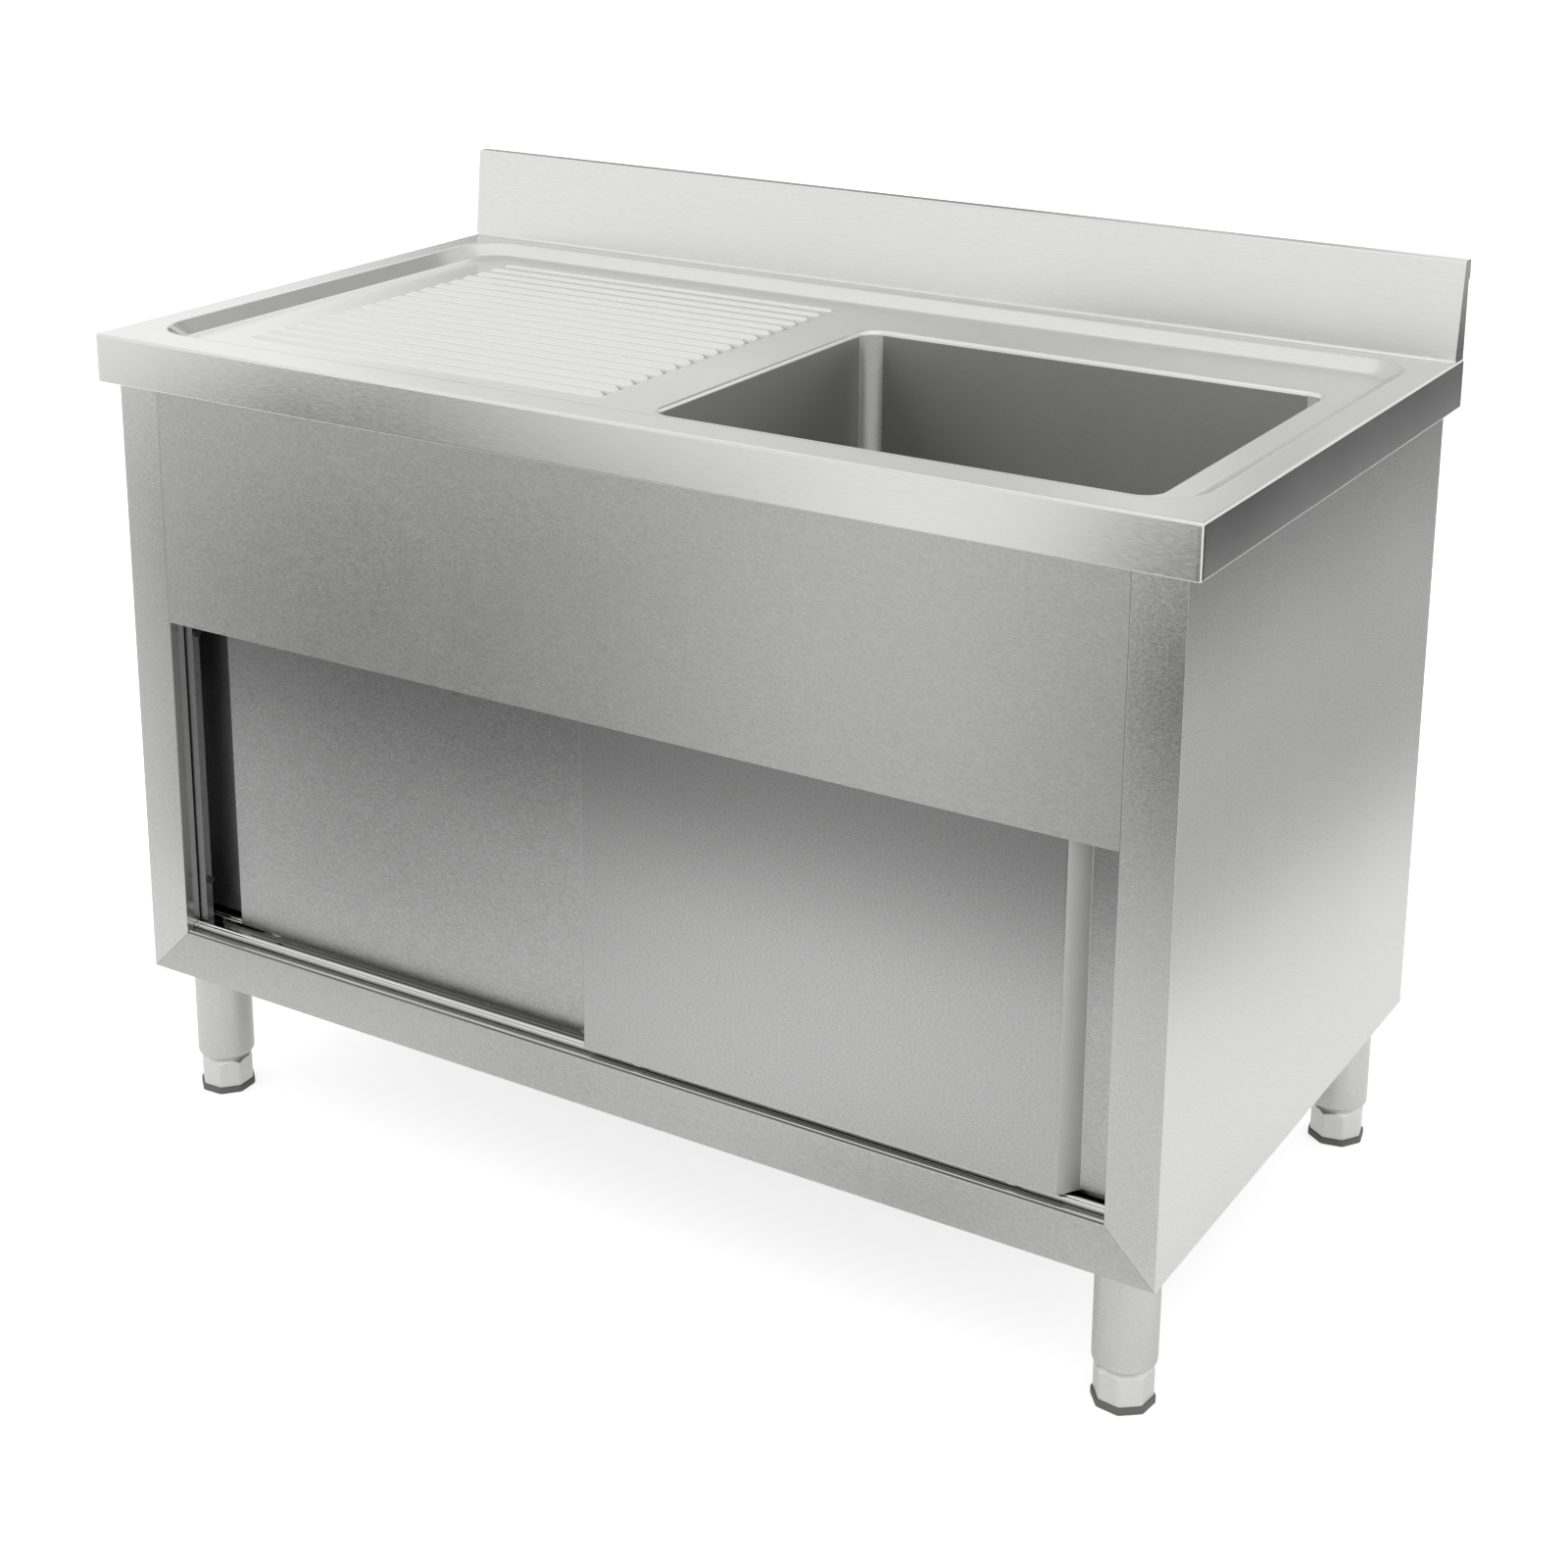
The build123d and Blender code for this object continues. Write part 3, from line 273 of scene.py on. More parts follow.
def bent_line(corners, radii, steps=6, flat=0.3):
    """Runs straight between corners. A corner with a radius becomes an arc tangent to both runs, in equal
    angles, with one more point a little way along each run, so that the flats keep flat shading. Gives the
    points and the unit normals to the left of the line."""
    corners = np.array(corners, float)
    runs = np.diff(corners, axis=0)
    runs /= np.linalg.norm(runs, axis=1)[:, None]
    left = np.stack([-runs[:, 1], runs[:, 0]], 1)
    points, normals = [corners[:1]], [left[:1]]
    for corner, radius, came, goes, left_in, left_out in zip(
            corners[1:-1], radii, runs[:-1], runs[1:], left[:-1], left[1:]):
        turn = np.arccos(np.clip(came @ goes, -1, 1))
        side = np.sign(came[0] * goes[1] - came[1] * goes[0])
        reach = radius * np.tan(turn / 2)
        centre = corner - came * reach + side * left_in * radius
        share = np.linspace(0, 1, steps + 1)[:, None]
        spoke = (np.sin((1 - share) * turn) * left_in + np.sin(share * turn) * left_out) / np.sin(turn)
        points += [corner - came * (reach + flat), centre - side * radius * spoke,
                   corner + goes * (reach + flat)]
        normals += [left_in, spoke, left_out]
    points, normals = points + [corners[-1:]], normals + [left[-1:]]
    return np.vstack(points), np.vstack(normals)


def rounded_loop(x_low, x_high, y_low, y_high, radius, steps=10, straight=8, flat=1.0):
    """Goes once round a rectangle, anticlockwise from above: a quarter circle at each corner, and straight
    runs between them with a point close to each end. Gives points in mm and outward normals."""
    middle = np.array([(x_low + x_high) / 2, (y_low + y_high) / 2])
    half = np.array([(x_high - x_low) / 2, (y_high - y_low) / 2]) - radius
    points, normals = [], []
    for quarter, (sx, sy) in enumerate(((-1, -1), (1, -1), (1, 1), (-1, 1))):
        angle = np.radians(180 + 90 * quarter + np.linspace(0, 90, steps + 1))
        normal = np.stack([np.cos(angle), np.sin(angle)], 1)
        arc = middle + half * (sx, sy) + radius * normal
        run = 2 * half[quarter % 2]
        ahead = np.array([-normal[-1, 1], normal[-1, 0]])
        far = np.concatenate([[flat], np.linspace(0, run, straight + 2)[1:-1], [run - flat]])
        points += [arc, arc[-1] + far[:, None] * ahead]
        normals += [normal, np.repeat(normal[-1:], len(far), 0)]
    return np.vstack(points), np.vstack(normals)


def flat_web(outline, holes, height):
    """Fills the flat area inside an outline and outside its holes with triangles that use the loops' own
    points: a constrained triangulation whose triangles outside the area are dropped."""
    loops = [outline, *holes]
    corners = np.vstack(loops)
    starts = np.cumsum([0] + [len(loop) for loop in loops])
    edges = [(int(a + k), int(a + (k + 1) % (b - a)))
             for a, b in zip(starts[:-1], starts[1:]) for k in range(b - a)]
    found = delaunay_2d_cdt([tuple(point) for point in corners.tolist()], edges, [], 0, 1e-6)
    flat, faces = np.array([tuple(point) for point in found[0]]), np.array(found[2])
    middle = flat[faces].mean(1)

    def inside(loop):
        """Whether each middle is inside the loop: a ray to the right crosses it an odd number of times."""
        a, b = loop, np.roll(loop, -1, 0)
        x, y = middle[:, :1], middle[:, 1:]
        spans = (a[:, 1] > y) != (b[:, 1] > y)
        with np.errstate(divide="ignore", invalid="ignore"):
            crossing = a[:, 0] + (y - a[:, 1]) / (b[:, 1] - a[:, 1]) * (b[:, 0] - a[:, 0])
        return (spans & (x < crossing)).sum(1) % 2 == 1
    kept = inside(outline)
    for hole in holes:
        kept &= ~inside(hole)
    return np.column_stack([flat, np.full(len(flat), height)]), faces[kept].tolist()


def add_piece(name, patches, material, body, replaced=(), sheet=0.0, sharp=35.0, open_up=False):
    """Joins patches of (points in mm, faces) into one mesh, merges the points they share, turns all faces
    outward and hands the piece to its body. A sheet thickness makes an open surface solid below it."""
    points = np.vstack([np.reshape(patch[0], (-1, 3)) for patch in patches]) * MM
    faces, first = [], 0
    for patch in patches:
        faces += [[first + k for k in face] for face in patch[1]]
        first += len(np.reshape(patch[0], (-1, 3)))
    mesh = bpy.data.meshes.new(name)
    mesh.from_pydata(points.tolist(), [], faces)
    work = bmesh.new()
    work.from_mesh(mesh)
    bmesh.ops.remove_doubles(work, verts=work.verts, dist=0.005 * MM)
    bmesh.ops.dissolve_degenerate(work, edges=work.edges, dist=0.001 * MM)
    bmesh.ops.recalc_face_normals(work, faces=work.faces)
    if open_up and sum(face.normal.z * face.calc_area() for face in work.faces) < 0:
        bmesh.ops.reverse_faces(work, faces=work.faces)
    work.to_mesh(mesh)
    work.free()
    mesh.shade_smooth()
    mesh.set_sharp_from_angle(angle=np.radians(sharp))
    mesh.materials.append(material)
    piece = bpy.data.objects.new(name, mesh)
    bpy.context.scene.collection.objects.link(piece)
    if sheet:
        wall = piece.modifiers.new("sheet", "SOLIDIFY")
        wall.thickness, wall.offset = sheet * MM, -1
        solid = bpy.data.meshes.new_from_object(piece.evaluated_get(bpy.context.evaluated_depsgraph_get()))
        piece.modifiers.clear()
        piece.data = solid
        solid.shade_smooth()
        solid.set_sharp_from_angle(angle=np.radians(sharp))
    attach(piece, body)
    if replaced:
        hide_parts(*replaced)
    return piece


# Ground satin sheet, grit 180: it mirrors soft shapes only, with a fine speckle. The grit's own lines
# are 0.05 mm apart, too fine to show, so the grain is drawn 1.2 mm across.
worktop_satin = satin_steel("ground_satin_steel_worktop", "#e4e4e3", "#dddddc", 0.20, 0.03, 1.2, 9, 0.03)

# Front and side edges: a profile of (inset, height) carried round three sides of the sheet.
EDGE_X, EDGE_FRONT, EDGE_REAR, TOP, EDGE_FOOT = 600.0, -325.0, 325.0, 850.0, 800.0
edge_profile, _ = bent_line([(13, EDGE_FOOT), (0, EDGE_FOOT), (0, TOP), (4, TOP)], [1.8, 2.5])
BASE_Y = 295.0


def edge_path(inset):
    """The edge seen from above at one inset: from the left rear round the two front corners, of 3 mm
    radius outside, to the right rear. The stations are the same at every inset."""
    radius = max(3.0 - inset, 0.0)
    square = max(inset, 3.0)
    angle = np.radians(np.linspace(0, 90, 6))
    sweep = radius * np.stack([np.cos(angle), np.sin(angle)], 1)
    side = np.array([EDGE_REAR, BASE_Y, 200, 0, -200, EDGE_FRONT + 5])
    left = np.column_stack([np.full(6, inset - EDGE_X), side])
    corner = np.array([square - EDGE_X, EDGE_FRONT + square]) - sweep
    across = np.column_stack([np.linspace(5 - EDGE_X, EDGE_X - 5, 15), np.full(15, EDGE_FRONT + inset)])
    return np.vstack([left, corner, across, corner[::-1] * (-1, 1), left[::-1] * (-1, 1)])


edge_rows = [np.column_stack([edge_path(inset), np.full(39, height)]) for inset, height in edge_profile]
edge_patch = (np.array(edge_rows), grid_faces(len(edge_rows), len(edge_rows[0])))

# Upstand: a profile of (y, height) carried along X, its ends drawn in over the side edge's bend.
UPSTAND_TOP = 950.0
upstand_profile, _ = bent_line([(BASE_Y, TOP), (299, TOP), (310, UPSTAND_TOP), (EDGE_REAR, UPSTAND_TOP),
                                (EDGE_REAR, UPSTAND_TOP - 20)], [3.0, 2.5, 2.5])
upstand_half = 596 + 4 * step(upstand_profile[:, 1], TOP, TOP + 4)
upstand_share = np.linspace(-1, 1, 25)
upstand_points = np.stack(np.broadcast_arrays(upstand_half[:, None] * upstand_share, upstand_profile[:, :1],
                                              upstand_profile[:, 1:]), -1)
upstand_patch = (upstand_points, grid_faces(len(upstand_profile), 25))

# Pressed area: rings at growing insets from its outline, down a slope of 12 mm in 20 mm.
PRESSED = TOP - 12
recess_loop, recess_normal = rounded_loop(-570, 570, -283, 279, 50, straight=14)
recess_profile, _ = bent_line([(-4, TOP), (0, TOP), (20, PRESSED), (26, PRESSED)], [8, 9])
recess_rings = recess_loop - recess_profile[:, :1, None] * recess_normal
recess_points = np.dstack([recess_rings, np.broadcast_to(recess_profile[:, 1:], recess_rings.shape[:2])])
recess_patch = (recess_points, grid_faces(*recess_rings.shape[:2], closed=True))

# Drainboard ribs: 18 long round-ended ridges, 25 mm apart and 3 mm high. The height at a point falls
# as half a cosine wave with its distance from the middle line of the nearest ridge.
RIB_PITCH, RIB_FIRST, RIB_LAST, RIB_HALF, RIB_RISE = 25.0, -212.0, 213.0, 8.6, 3.0
end_steps = np.linspace(0, 20, 13)
rib_x = np.concatenate([-502 + end_steps, np.linspace(-470, -72, 14), -40 - end_steps[::-1]])
rib_y = np.linspace(RIB_FIRST - 12.5, RIB_LAST + 12.5, 18 * 14 + 1)
patch_x, patch_y = np.meshgrid(rib_x, rib_y, indexing="ij")
from_line = patch_y - RIB_FIRST - RIB_PITCH * np.clip(np.round((patch_y - RIB_FIRST) / RIB_PITCH), 0, 17)
past_end = np.maximum(np.abs(patch_x + 271) - 213.5, 0)
from_ridge = np.clip(np.hypot(from_line, past_end) / RIB_HALF, 0, 1)
rib_points = np.dstack([patch_x, patch_y, PRESSED + RIB_RISE * (0.5 + 0.5 * np.cos(np.pi * from_ridge))])
rib_patch = (rib_points, grid_faces(*patch_x.shape))
rib_border = np.vstack([rib_points[:, 0], rib_points[-1, 1:], rib_points[-2::-1, -1], rib_points[0, -2:0:-1]])

# Bowl opening: the sheet stops 5 mm outside the bowl's walls, where the bowl's rolled rim is welded in.
BOWL_FLOOR = 588.0
bowl_loop, bowl_normal = rounded_loop(20, 520, -239, 161, 18)
opening = bowl_loop + 5 * bowl_normal

# The bowl's upper edge is a 5 mm roll of the same ground finish.
bowl_profile, _ = bent_line([(5, PRESSED), (0, PRESSED), (0, BOWL_FLOOR), (-17, BOWL_FLOOR)], [4.8, 14],
                            steps=8, flat=0.15)
bowl_rings = bowl_loop + bowl_profile[:, :1, None] * bowl_normal
bowl_walls = np.dstack([bowl_rings, np.broadcast_to(bowl_profile[:, 1:], bowl_rings.shape[:2])])
ROLL_ROWS = 11
roll_patch = (bowl_walls[:ROLL_ROWS], grid_faces(ROLL_ROWS, bowl_rings.shape[1], closed=True))

rim_border = np.vstack([edge_rows[-1][1:-1, :2], upstand_points[0, -2:0:-1, :2]])
worktop_patches = [edge_patch, upstand_patch, recess_patch, rib_patch, roll_patch,
                   (*flat_web(rim_border, [recess_rings[0]], TOP),),
                   (*flat_web(recess_rings[-1], [rib_border[:, :2], opening], PRESSED),)]
add_piece("worktop_sheet", worktop_patches, worktop_satin, "carcass", ["worktop"],
          sheet=1.2, open_up=True)

# ---------------------------------------------------------------- bowl
# A deep bowl of 1.2 mm sheet, welded to the worktop's rolled edge. Its upright corners are bent to 18 mm
# and its floor corners to 14 mm. It is brushed level all round. Its walls and floor are a darker copy of the
# steel, painted shade, and its upright corners a paler copy, a painted highlight.
# Brushed sheet: level brush lines draw each reflection out upwards, so the walls take in the light above.
# The bowl's colour is darker than the worktop's, though it is the same steel: painted shade for the inside of
# the bowl.
bowl_brushed_painted_shade = satin_steel("brushed_steel_bowl_painted_shade", "#b4b4b3", "#acacab", 0.42, 0.03, 1.3, 7, 0.03,
                           upright_gloss=0.92)
# Upright corners: paler than the walls, a painted highlight for the bright streak down each corner. Their
# level lines scatter light up and down, and they stay glossy across.
bowl_corner_painted_highlight = satin_steel("painted_highlight_steel_corners_of_bowl", "#f0f0ee", "#e2e2e0", 0.55, 0.03, 1.3, 7, 0.03,
                          upright_gloss=0.92)
WASTE_X, WASTE_Y = 270.0, 71.0
angle = np.linspace(0, 2 * np.pi, 65)[:-1]
waste_hole = np.column_stack([WASTE_X + 26 * np.cos(angle), WASTE_Y + 26 * np.sin(angle)])
wall_faces = grid_faces(len(bowl_rings) - ROLL_ROWS + 1, bowl_rings.shape[1], closed=True)
bowl_patches = [(bowl_walls[ROLL_ROWS - 1:], wall_faces),
                (*flat_web(bowl_rings[-1], [waste_hole], BOWL_FLOOR),)]
bowl = add_piece("sink_bowl", bowl_patches, bowl_brushed_painted_shade, "carcass", ["bowl"],
                 sheet=1.2, open_up=True)
bowl.data.materials.append(bowl_corner_painted_highlight)
# The corners' faces lie past the straight part of the long walls and of the short ones.
BOWL_MIDDLE_X, BOWL_MIDDLE_Y, STRAIGHT_X, STRAIGHT_Y = 270, -39, 232, 182
middles = np.empty(3 * len(bowl.data.polygons))
bowl.data.polygons.foreach_get("center", middles)
across = np.abs(middles[::3] / MM - BOWL_MIDDLE_X)
back = np.abs(middles[1::3] / MM - BOWL_MIDDLE_Y)
in_corner = (across > STRAIGHT_X) & (back > STRAIGHT_Y)
bowl.data.polygons.foreach_set("material_index", in_corner.astype(np.int32))

# ---------------------------------------------------------------- posts
# The two front posts are 1 mm stainless sheet, folded back at the door opening and round to the side
# panels, and cut at 45 degrees at the foot where the bottom rail is welded on.


def folded_piece(outer, inner, low, high, place):
    """Carries a sheet's cross section straight from low to high: two skins, two long edges and two
    ends, all of quads. Low and high may differ from point to point, as at a mitre. Place turns the
    section's two numbers and the height along the run into x, y and z."""
    count = len(outer)
    low, high = np.broadcast_to(low, count), np.broadcast_to(high, count)
    rows = np.vstack([place(skin, end) for skin in (outer, inner) for end in (low, high)])
    k = np.arange(count - 1)
    strips = [np.stack([a * count + k, a * count + k + 1, b * count + k + 1, b * count + k], 1)
              for a, b in ((0, 1), (3, 2), (2, 0), (1, 3))]
    ends = [[k, count + k, 3 * count + k, 2 * count + k] for k in (0, count - 1)]
    return rows, np.vstack(strips).tolist() + ends


def upright(side, shift=0.0):
    """A section drawn from above, x outward and y to the rear, standing along z; side -1 mirrors it."""
    return lambda skin, end: np.column_stack([side * skin[:, 0], skin[:, 1] + shift, end])


MITRE_GAP = 0.35
post_outer, post_left = bent_line([(534, -291), (534, -310), (584, -310), (584, -309)], [0.5, 0.7])
post_inner = post_outer + post_left
post_satin = satin_steel("ground_satin_steel_posts", "#dadad9", "#c9c9c8", 0.22, 0.03, 1.2, 2, 0.03)
post_foot = 150 + MITRE_GAP + np.clip(584 - post_outer[:, 0], 0, 50)
seam_outer, seam_left = bent_line([(583, -309), (583, -269)], [])
# Ground satin sheet, a rougher grit than the worktop's: soft mirror images and a visible speckle.
cabinet_satin = satin_steel("ground_satin_steel_cabinet", "#cacac9", "#b7b7b6", 0.32, 0.03, 1.2, 4, 0.03)
for side, hand in ((-1, "left"), (1, "right")):
    add_piece(hand + "_front_post",
              [folded_piece(post_outer, post_inner, post_foot, 848.8, upright(side)),
               folded_piece(seam_outer, seam_outer + seam_left, 200, 848.8, upright(side))],
              post_satin, "carcass", [hand + "_post"])

# ---------------------------------------------------------------- bottom rail
# The rail under the doors is the same sheet, folded back at the top and bottom, and mitred into the posts.
rail_outer, rail_left = bent_line([(-290, 200), (-310, 200), (-310, 150), (-290, 150)], [1.2, 1.2])
rail_end = np.where(rail_outer[:, 0] < -308.5, 584 - (rail_outer[:, 1] - 150),
                    np.where(rail_outer[:, 1] > 175, 534, 569))
add_piece("bottom_front_rail",
          [folded_piece(rail_outer, rail_outer + rail_left, -rail_end, rail_end,
                        lambda skin, end: np.column_stack([end, skin]))],
          cabinet_satin, "carcass", ["bottom_rail"])

# ---------------------------------------------------------------- apron
# The deep panel under the worktop, which hides the bowl: one sheet folded back at both ends.
apron_outer, apron_left = bent_line([(-533.8, -295), (-533.8, -310), (533.8, -310), (533.8, -295)],
                                    [0.4, 0.4])
add_piece("front_apron",
          [folded_piece(apron_outer, apron_outer + apron_left, 550, 848.8, upright(1))],
          cabinet_satin, "carcass", ["apron"])

# ---------------------------------------------------------------- sliding doors
# Two hollow doors, each a folded skin on a flat liner. The outer edge is folded in to a finger pull.
# The left door runs 27 mm behind the right one.


def slab(outline, holes, low, high):
    """A flat plate with holes: a web below, the same web above, and a wall round each loop."""
    patches = [flat_web(outline, holes, height) for height in (low, high)]
    for loop in (outline, *holes):
        wall = np.stack([np.column_stack([loop, np.full(len(loop), height)]) for height in (low, high)])
        patches.append((wall, grid_faces(2, len(loop), closed=True)))
    return patches


skin_outer, skin_left = bent_line([(-20, -283), (-20, -306), (485, -306), (499, -284), (550, -284)],
                                  [2.0, 2.0, 1.2], steps=8)
skin_inner = skin_outer + skin_left
plate = np.array([(-19, -283.0), (-19, -305), (484.2, -305), (497.6, -284), (497.6, -283)])
slots = [np.array([(x - 13, -303.0), (x + 13, -303), (x + 13, -288), (x - 13, -288)]) for x in (40, 440)]
# The doors' satin is the cabinet's, with painted shade: its colour darkens towards the top, where the apron
# keeps the light off.
door_satin_painted_shade = satin_steel("ground_satin_steel_doors_painted_shade", "#cecece", "#b2b2b1", 0.34, 0.03, 1.2, 3, 0.03,
                         painted_shade_fall=(560, 200, 0.50))
FOLD_MIDDLE, FOLD_HALF = 492.3, 6.9
# The fold's colour is paler than the door faces: painted light that brightens the finger pull's slope. It is
# also rougher, nearly matt.
fold_satin_painted_light = satin_steel("matt_steel_door_folds_painted_light", "#e8e8e7", "#dededd", 0.55, 0.03, 1.2, 3, 0.03)
for side, hand, lane in ((1, "right", 0.0), (-1, "left", 27.0)):
    stand = upright(side, lane)
    parts = [folded_piece(skin_outer, skin_inner, 211, 588, stand)]
    for cuts, low in ((slots, 211), ([], 587)):
        parts += [(stand(points.reshape(-1, 3)[:, :2], points.reshape(-1, 3)[:, 2]), faces)
                  for points, faces in slab(plate, cuts, low, low + 1)]
    door = add_piece(hand + "_sliding_door", parts, door_satin_painted_shade, hand + "_door",
                     [hand + "_door_skin"])
    door.data.materials.append(fold_satin_painted_light)
    middles = np.empty(3 * len(door.data.polygons))
    door.data.polygons.foreach_get("center", middles)
    in_fold = np.abs(np.abs(middles[::3]) - FOLD_MIDDLE * MM) < FOLD_HALF * MM
    door.data.polygons.foreach_set("material_index", in_fold.astype(np.int32))

# ---------------------------------------------------------------- legs
# Welded stainless tube, 60 mm across, spun in at the lower end round a plug for the foot's stem.


def turned(radii, heights, x, y):
    """A surface of revolution about an upright line at x, y. Each row is a ring at one height, and its
    radius may change round the turn. The rows run from one end to the other, or back to the first."""
    turns = np.linspace(0, 2 * np.pi, TURN_STEPS + 1)[:-1]
    radii = np.broadcast_to(radii, (len(heights), TURN_STEPS))
    points = np.stack([x + radii * np.cos(turns), y + radii * np.sin(turns),
                       np.broadcast_to(heights[:, None], radii.shape)], -1)
    return points, grid_faces(len(points), TURN_STEPS, closed=True)


TURN_STEPS = 96
CORNERS = {"front_left": (-537, -258, 26), "front_right": (537, -258, 16),
           "rear_left": (-537, 285, 8), "rear_right": (537, 285, 34)}
leg_outline, _ = bent_line([(30, 151), (30, 40), (24, 40), (24, 46), (28.5, 46), (28.5, 151), (30, 151)],
                           [5.5, 0.01, 0.01, 0.01, 0.01], steps=8)
# Ground tube: smoother than the sheet, so it shows a clearer band of light along its length.
tube_satin = satin_steel("ground_satin_steel_tube", "#cfcfce", "#c5c5c4", 0.26, 0.03, 1.2, 3, 0.02)
for corner, (x, y, _) in CORNERS.items():
    add_piece(corner + "_tube_leg", [turned(leg_outline[:, :1], leg_outline[:, 1], x, y)],
              tube_satin, "carcass", [corner + "_leg"])

# ---------------------------------------------------------------- feet
# Die-cast feet on a screwed stem: an octagon, 52 mm across the flats, turned down to a cone at the top,
# so that its flats end in scallops.


def octagon(flats, turn, soften):
    """The radius round an octagon: half the flats over the cosine of the angle from the nearest flat's
    middle, cut off near the corners."""
    turns = np.linspace(0, 360, TURN_STEPS + 1)[:-1]
    from_flat = (turns - turn) % 45 - 22.5
    corner_radius = flats / 2 / np.cos(np.radians(22.5)) - soften
    return np.minimum(flats / 2 / np.cos(np.radians(from_flat)), corner_radius)


foot_heights = np.array([5, 5, 7, 7, 7.4, 31, *np.linspace(31.5, 35.8, 12), 36.4, 37.2, 38.4,
                         39.7, 39.7, 109.7, 109.7])
cone = np.interp(foot_heights, [31.0, 36.4, 39.2], [29.4, 25.6, 23.0])


def cast_or_moulded(name, colour, dark, roughness, spread, grain, bump, metallic=0.0):
    """A surface with the fine cloudy skin that a mould leaves: one noise, of a grain size in mm, shifts
    the colour from dark to pale, the roughness, and the relief."""
    material, tree = bare_material(name)
    place = add_node(tree, "ShaderNodeTexCoord")
    skin = add_node(tree, "ShaderNodeTexNoise", {"Vector": place.outputs["Object"], "Scale": 1 / (grain * MM),
                    "Detail": 3.0})
    shade = add_node(tree, "ShaderNodeMix", {"Factor": skin.outputs["Fac"], 6: linear(dark),
                     7: linear(colour)}, data_type="RGBA")
    rough = add_node(tree, "ShaderNodeMapRange", {"Value": skin.outputs["Fac"], "To Min": roughness - spread,
                     "To Max": roughness + spread})
    relief = add_node(tree, "ShaderNodeBump", {"Height": skin.outputs["Fac"], "Strength": bump,
                      "Distance": 0.2 * MM})
    surface = add_node(tree, "ShaderNodeBsdfPrincipled", {"Base Color": shade.outputs[2],
                       "Metallic": metallic, "Roughness": rough.outputs[0], "Normal": relief.outputs[0]})
    add_node(tree, "ShaderNodeOutputMaterial", {"Surface": surface.outputs[0]})
    return material


# Cast zinc, tumbled and nickel plated: pale, with soft reflections and no grain.
cast_metal = cast_or_moulded("plated_cast_zinc_feet", "#dfdfdd", "#d4d4d2", 0.32, 0.08, 3, 0.12, 1.0)
for corner, (x, y, turn) in CORNERS.items():
    body = np.minimum(octagon(52, turn, 0.35), cone[:, None])
    body[[0, 1, 2]] = np.array([0, 18, 18])[:, None]
    body[3] -= 0.4
    body[-3:] = np.array([6, 6, 0])[:, None]
    add_piece(corner + "_levelling_foot", [turned(body, foot_heights, x, y)], cast_metal, corner + "_foot",
              [corner + "_foot"], sharp=28)

# ---------------------------------------------------------------- foot pads
# Grey rubber pads, moulded to the feet's octagon and pressed on from below.
pad_heights = np.array([0, 0, 0.5, 6.3, 7, 7, 5, 5])
# Moulded rubber: a dull, nearly matt grey with a faint skin.
pad_rubber = cast_or_moulded("moulded_rubber_pads", "#787976", "#6a6b68", 0.6, 0.08, 2, 0.2)
for corner, (x, y, turn) in CORNERS.items():
    rim = octagon(55.5, turn, 0.4)
    rows = np.stack([0 * rim, rim - 0.8, rim, rim, rim - 0.7, 0 * rim + 18, 0 * rim + 18, 0 * rim])
    add_piece(corner + "_rubber_pad", [turned(rows, pad_heights, x, y)], pad_rubber, corner + "_foot",
              [corner + "_foot_pad"], sharp=28)

# ---------------------------------------------------------------- folded parts of the carcass
# Flat sheet whose modelled shape is already right: the plates that close the upstand's ends are ground like
# the worktop, and the folded side panels are welded to the posts.


def dress(material, *names):
    """Gives the carried-over parts a finish."""
    for name in names:
        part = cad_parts[name]
        if not part.material_slots:
            part.data.materials.append(material)
        for place in part.material_slots:
            place.material = material


# Ground satin sheet, a paler copy of the front's: painted light on the side panels.
panel_satin_painted_light = satin_steel("ground_satin_steel_side_panels_painted_light", "#e0e0df", "#cfcfce", 0.27, 0.03, 1.2, 4, 0.03)
dress(worktop_satin, "splash_end_left", "splash_end_right")
dress(panel_satin_painted_light, "left_side_panel", "right_side_panel")

# ---------------------------------------------------------------- door track
# The two-lane track that the rollers run on, rolled from bright strip and riveted to the bottom rail: a
# low lip at the front, and a ridge with two rounded crests for each lane.
ridge = np.array([(-4.9, 201.4), (-4.3, 208.6), (-1.4, 208.6), (0, 206.6),
                  (1.4, 208.6), (4.3, 208.6), (4.9, 201.4)])
ridge_radii = [1.0, 1.3, 1.2, 0.5, 1.2, 1.3, 1.0]
lanes = [ridge + (middle, 0) for middle in (-295.5, -268.5)]
track_outer, _ = bent_line([(-309, 200.4), (-309, 203.2), (-306.4, 203.2), (-305.6, 201.4),
                            *lanes[0], *lanes[1], (-255, 201.4)],
                           [0.7, 0.7, 0.6, *ridge_radii, *ridge_radii])
# Bright rolled strip: nearly a mirror. Its colour is darkened below 203 mm, between the crests: painted shade
# in the grooves.
track_bright_painted_shade = satin_steel("bright_rolled_steel_track_painted_shade", "#e2e2e0", "#d8d8d6", 0.10, 0.02, 1.2, 40, 0.02,
                           painted_shade_fall=(201.6, -1.4, 0.22))
add_piece("two_lane_track",
          [folded_piece(track_outer, np.column_stack([track_outer[:, 0], np.full(len(track_outer), 200.0)]),
                        -533.5, 533.5, lambda skin, end: np.column_stack([end, skin]))],
          track_bright_painted_shade, "carcass", ["lower_track"])
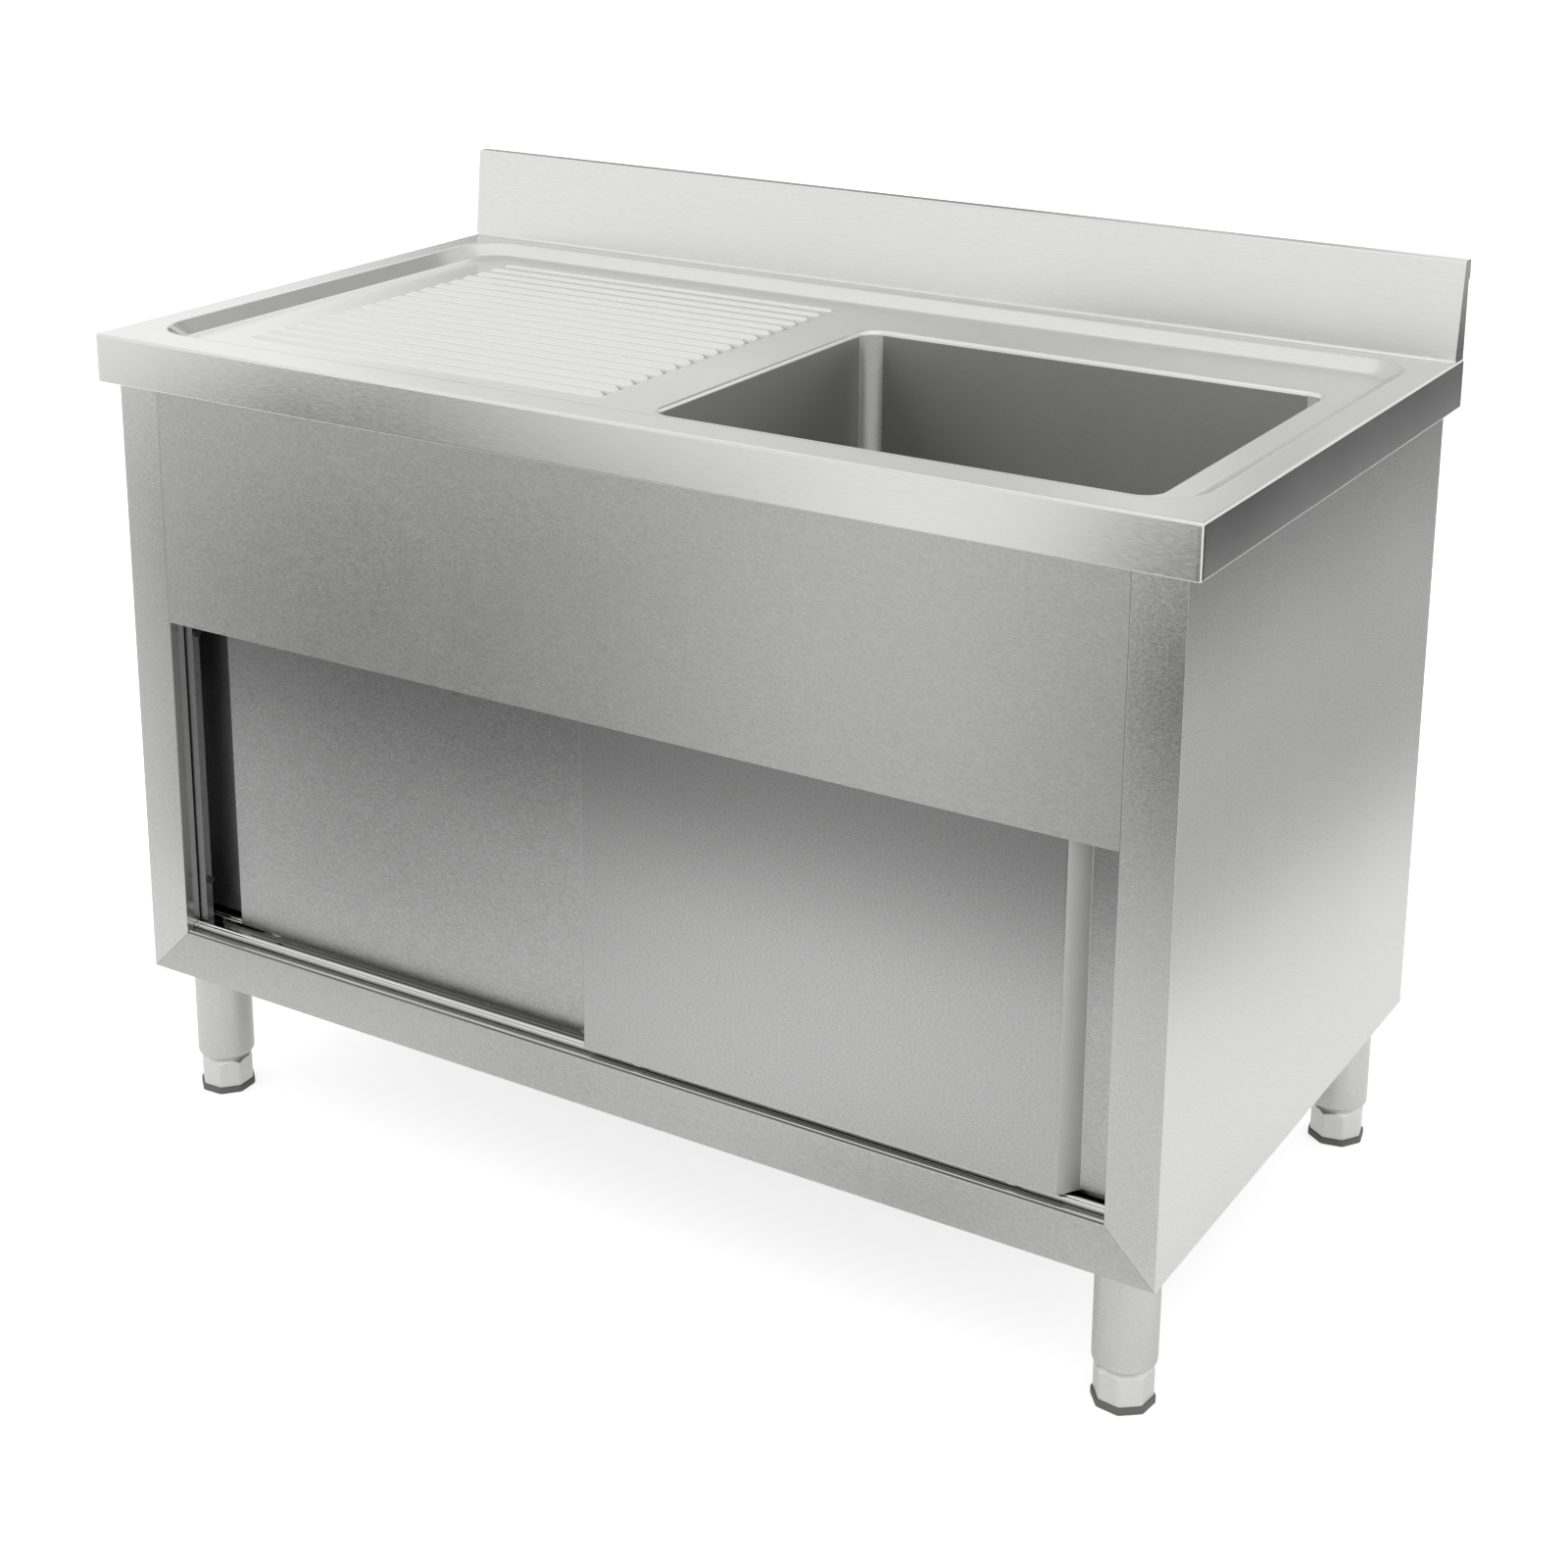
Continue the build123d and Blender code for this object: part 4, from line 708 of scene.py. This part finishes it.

# ---------------------------------------------------------------- hidden sheet metal
# The back, the shelf, the doors' liners, the stiffeners, the upper guide and the strips behind the doors'
# outer ends are cut from cold-rolled sheet, left as it comes from the mill, and spot welded in place.
# Cold-rolled sheet, 2B finish: even, greyer and softer than the ground faces, with no direction. Its grey is
# partly the sheet's own and partly painted shade, for the strips at the doors' outer ends that sit in shadow.
mill_sheet = satin_steel("cold_rolled_mill_steel", "#9fa0a0", "#939494", 0.38, 0.04, 2.5, 2.5, 0.05)
dress(mill_sheet, "back_panel", "rear_top_rail", "rear_bottom_rail", "bottom_shelf", "shelf_stiffeners",
      "corner_gussets", "drainboard_stiffeners", "upper_guide")
for hand in ("left", "right"):
    dress(mill_sheet, hand + "_jamb_filler", hand + "_door_liner", hand + "_door_roller_housings",
          hand + "_closing_channel")
dress(cast_metal, "leg_inserts")

# ---------------------------------------------------------------- what the doors run on and stop against
# Grooved nylon rollers on turned steel pins, nylon blocks in the upper guide, and rubber buffers.
# Nylon: moulded, off-white and slightly waxy.
nylon = cast_or_moulded("moulded_nylon_rollers", "#e4e3da", "#dad9cf", 0.38, 0.06, 2, 0.08)
# Turned steel pin: a fine turned surface, smoother than sheet.
turned_steel = satin_steel("turned_steel_pins", "#c3c3c2", "#b6b6b5", 0.18, 0.03, 1.0, 1.0, 0.03)
# Black rubber: matt, and dark enough to disappear in the gap.
buffer_rubber = cast_or_moulded("moulded_black_rubber", "#2b2b2a", "#232322", 0.7, 0.08, 2, 0.2)
for hand in ("left", "right"):
    dress(nylon, hand + "_door_inner_roller", hand + "_door_outer_roller", hand + "_door_top_guides")
    dress(turned_steel, hand + "_door_axles")
    dress(buffer_rubber, hand + "_opening_buffers", hand + "_closing_buffers")

# ---------------------------------------------------------------- waste fitting
# A pressed and chrome-plated flange over a rubber gasket, a steel strainer basket that lifts out, and a
# moulded nut and tailpiece below.
# Chrome plate on polished brass: a mirror with the faintest swirl from the buffing wheel.
chrome = satin_steel("chrome_plated_brass", "#dcdddf", "#d4d5d7", 0.06, 0.02, 3.0, 3.0, 0.01)
# Pressed and tumbled stainless steel: bright, with a little scatter.
basket_steel = satin_steel("pressed_steel_basket", "#d2d2d0", "#c6c6c4", 0.20, 0.03, 1.5, 1.5, 0.04)
# Polypropylene: moulded, white and softly glossy.
white_plastic = cast_or_moulded("moulded_white_polypropylene", "#e8e8e4", "#dededa", 0.36, 0.06, 3, 0.08)
dress(chrome, "waste_flange")
dress(buffer_rubber, "waste_gasket")
dress(basket_steel, "strainer_basket")
dress(white_plastic, "waste_locknut", "waste_tailpiece")
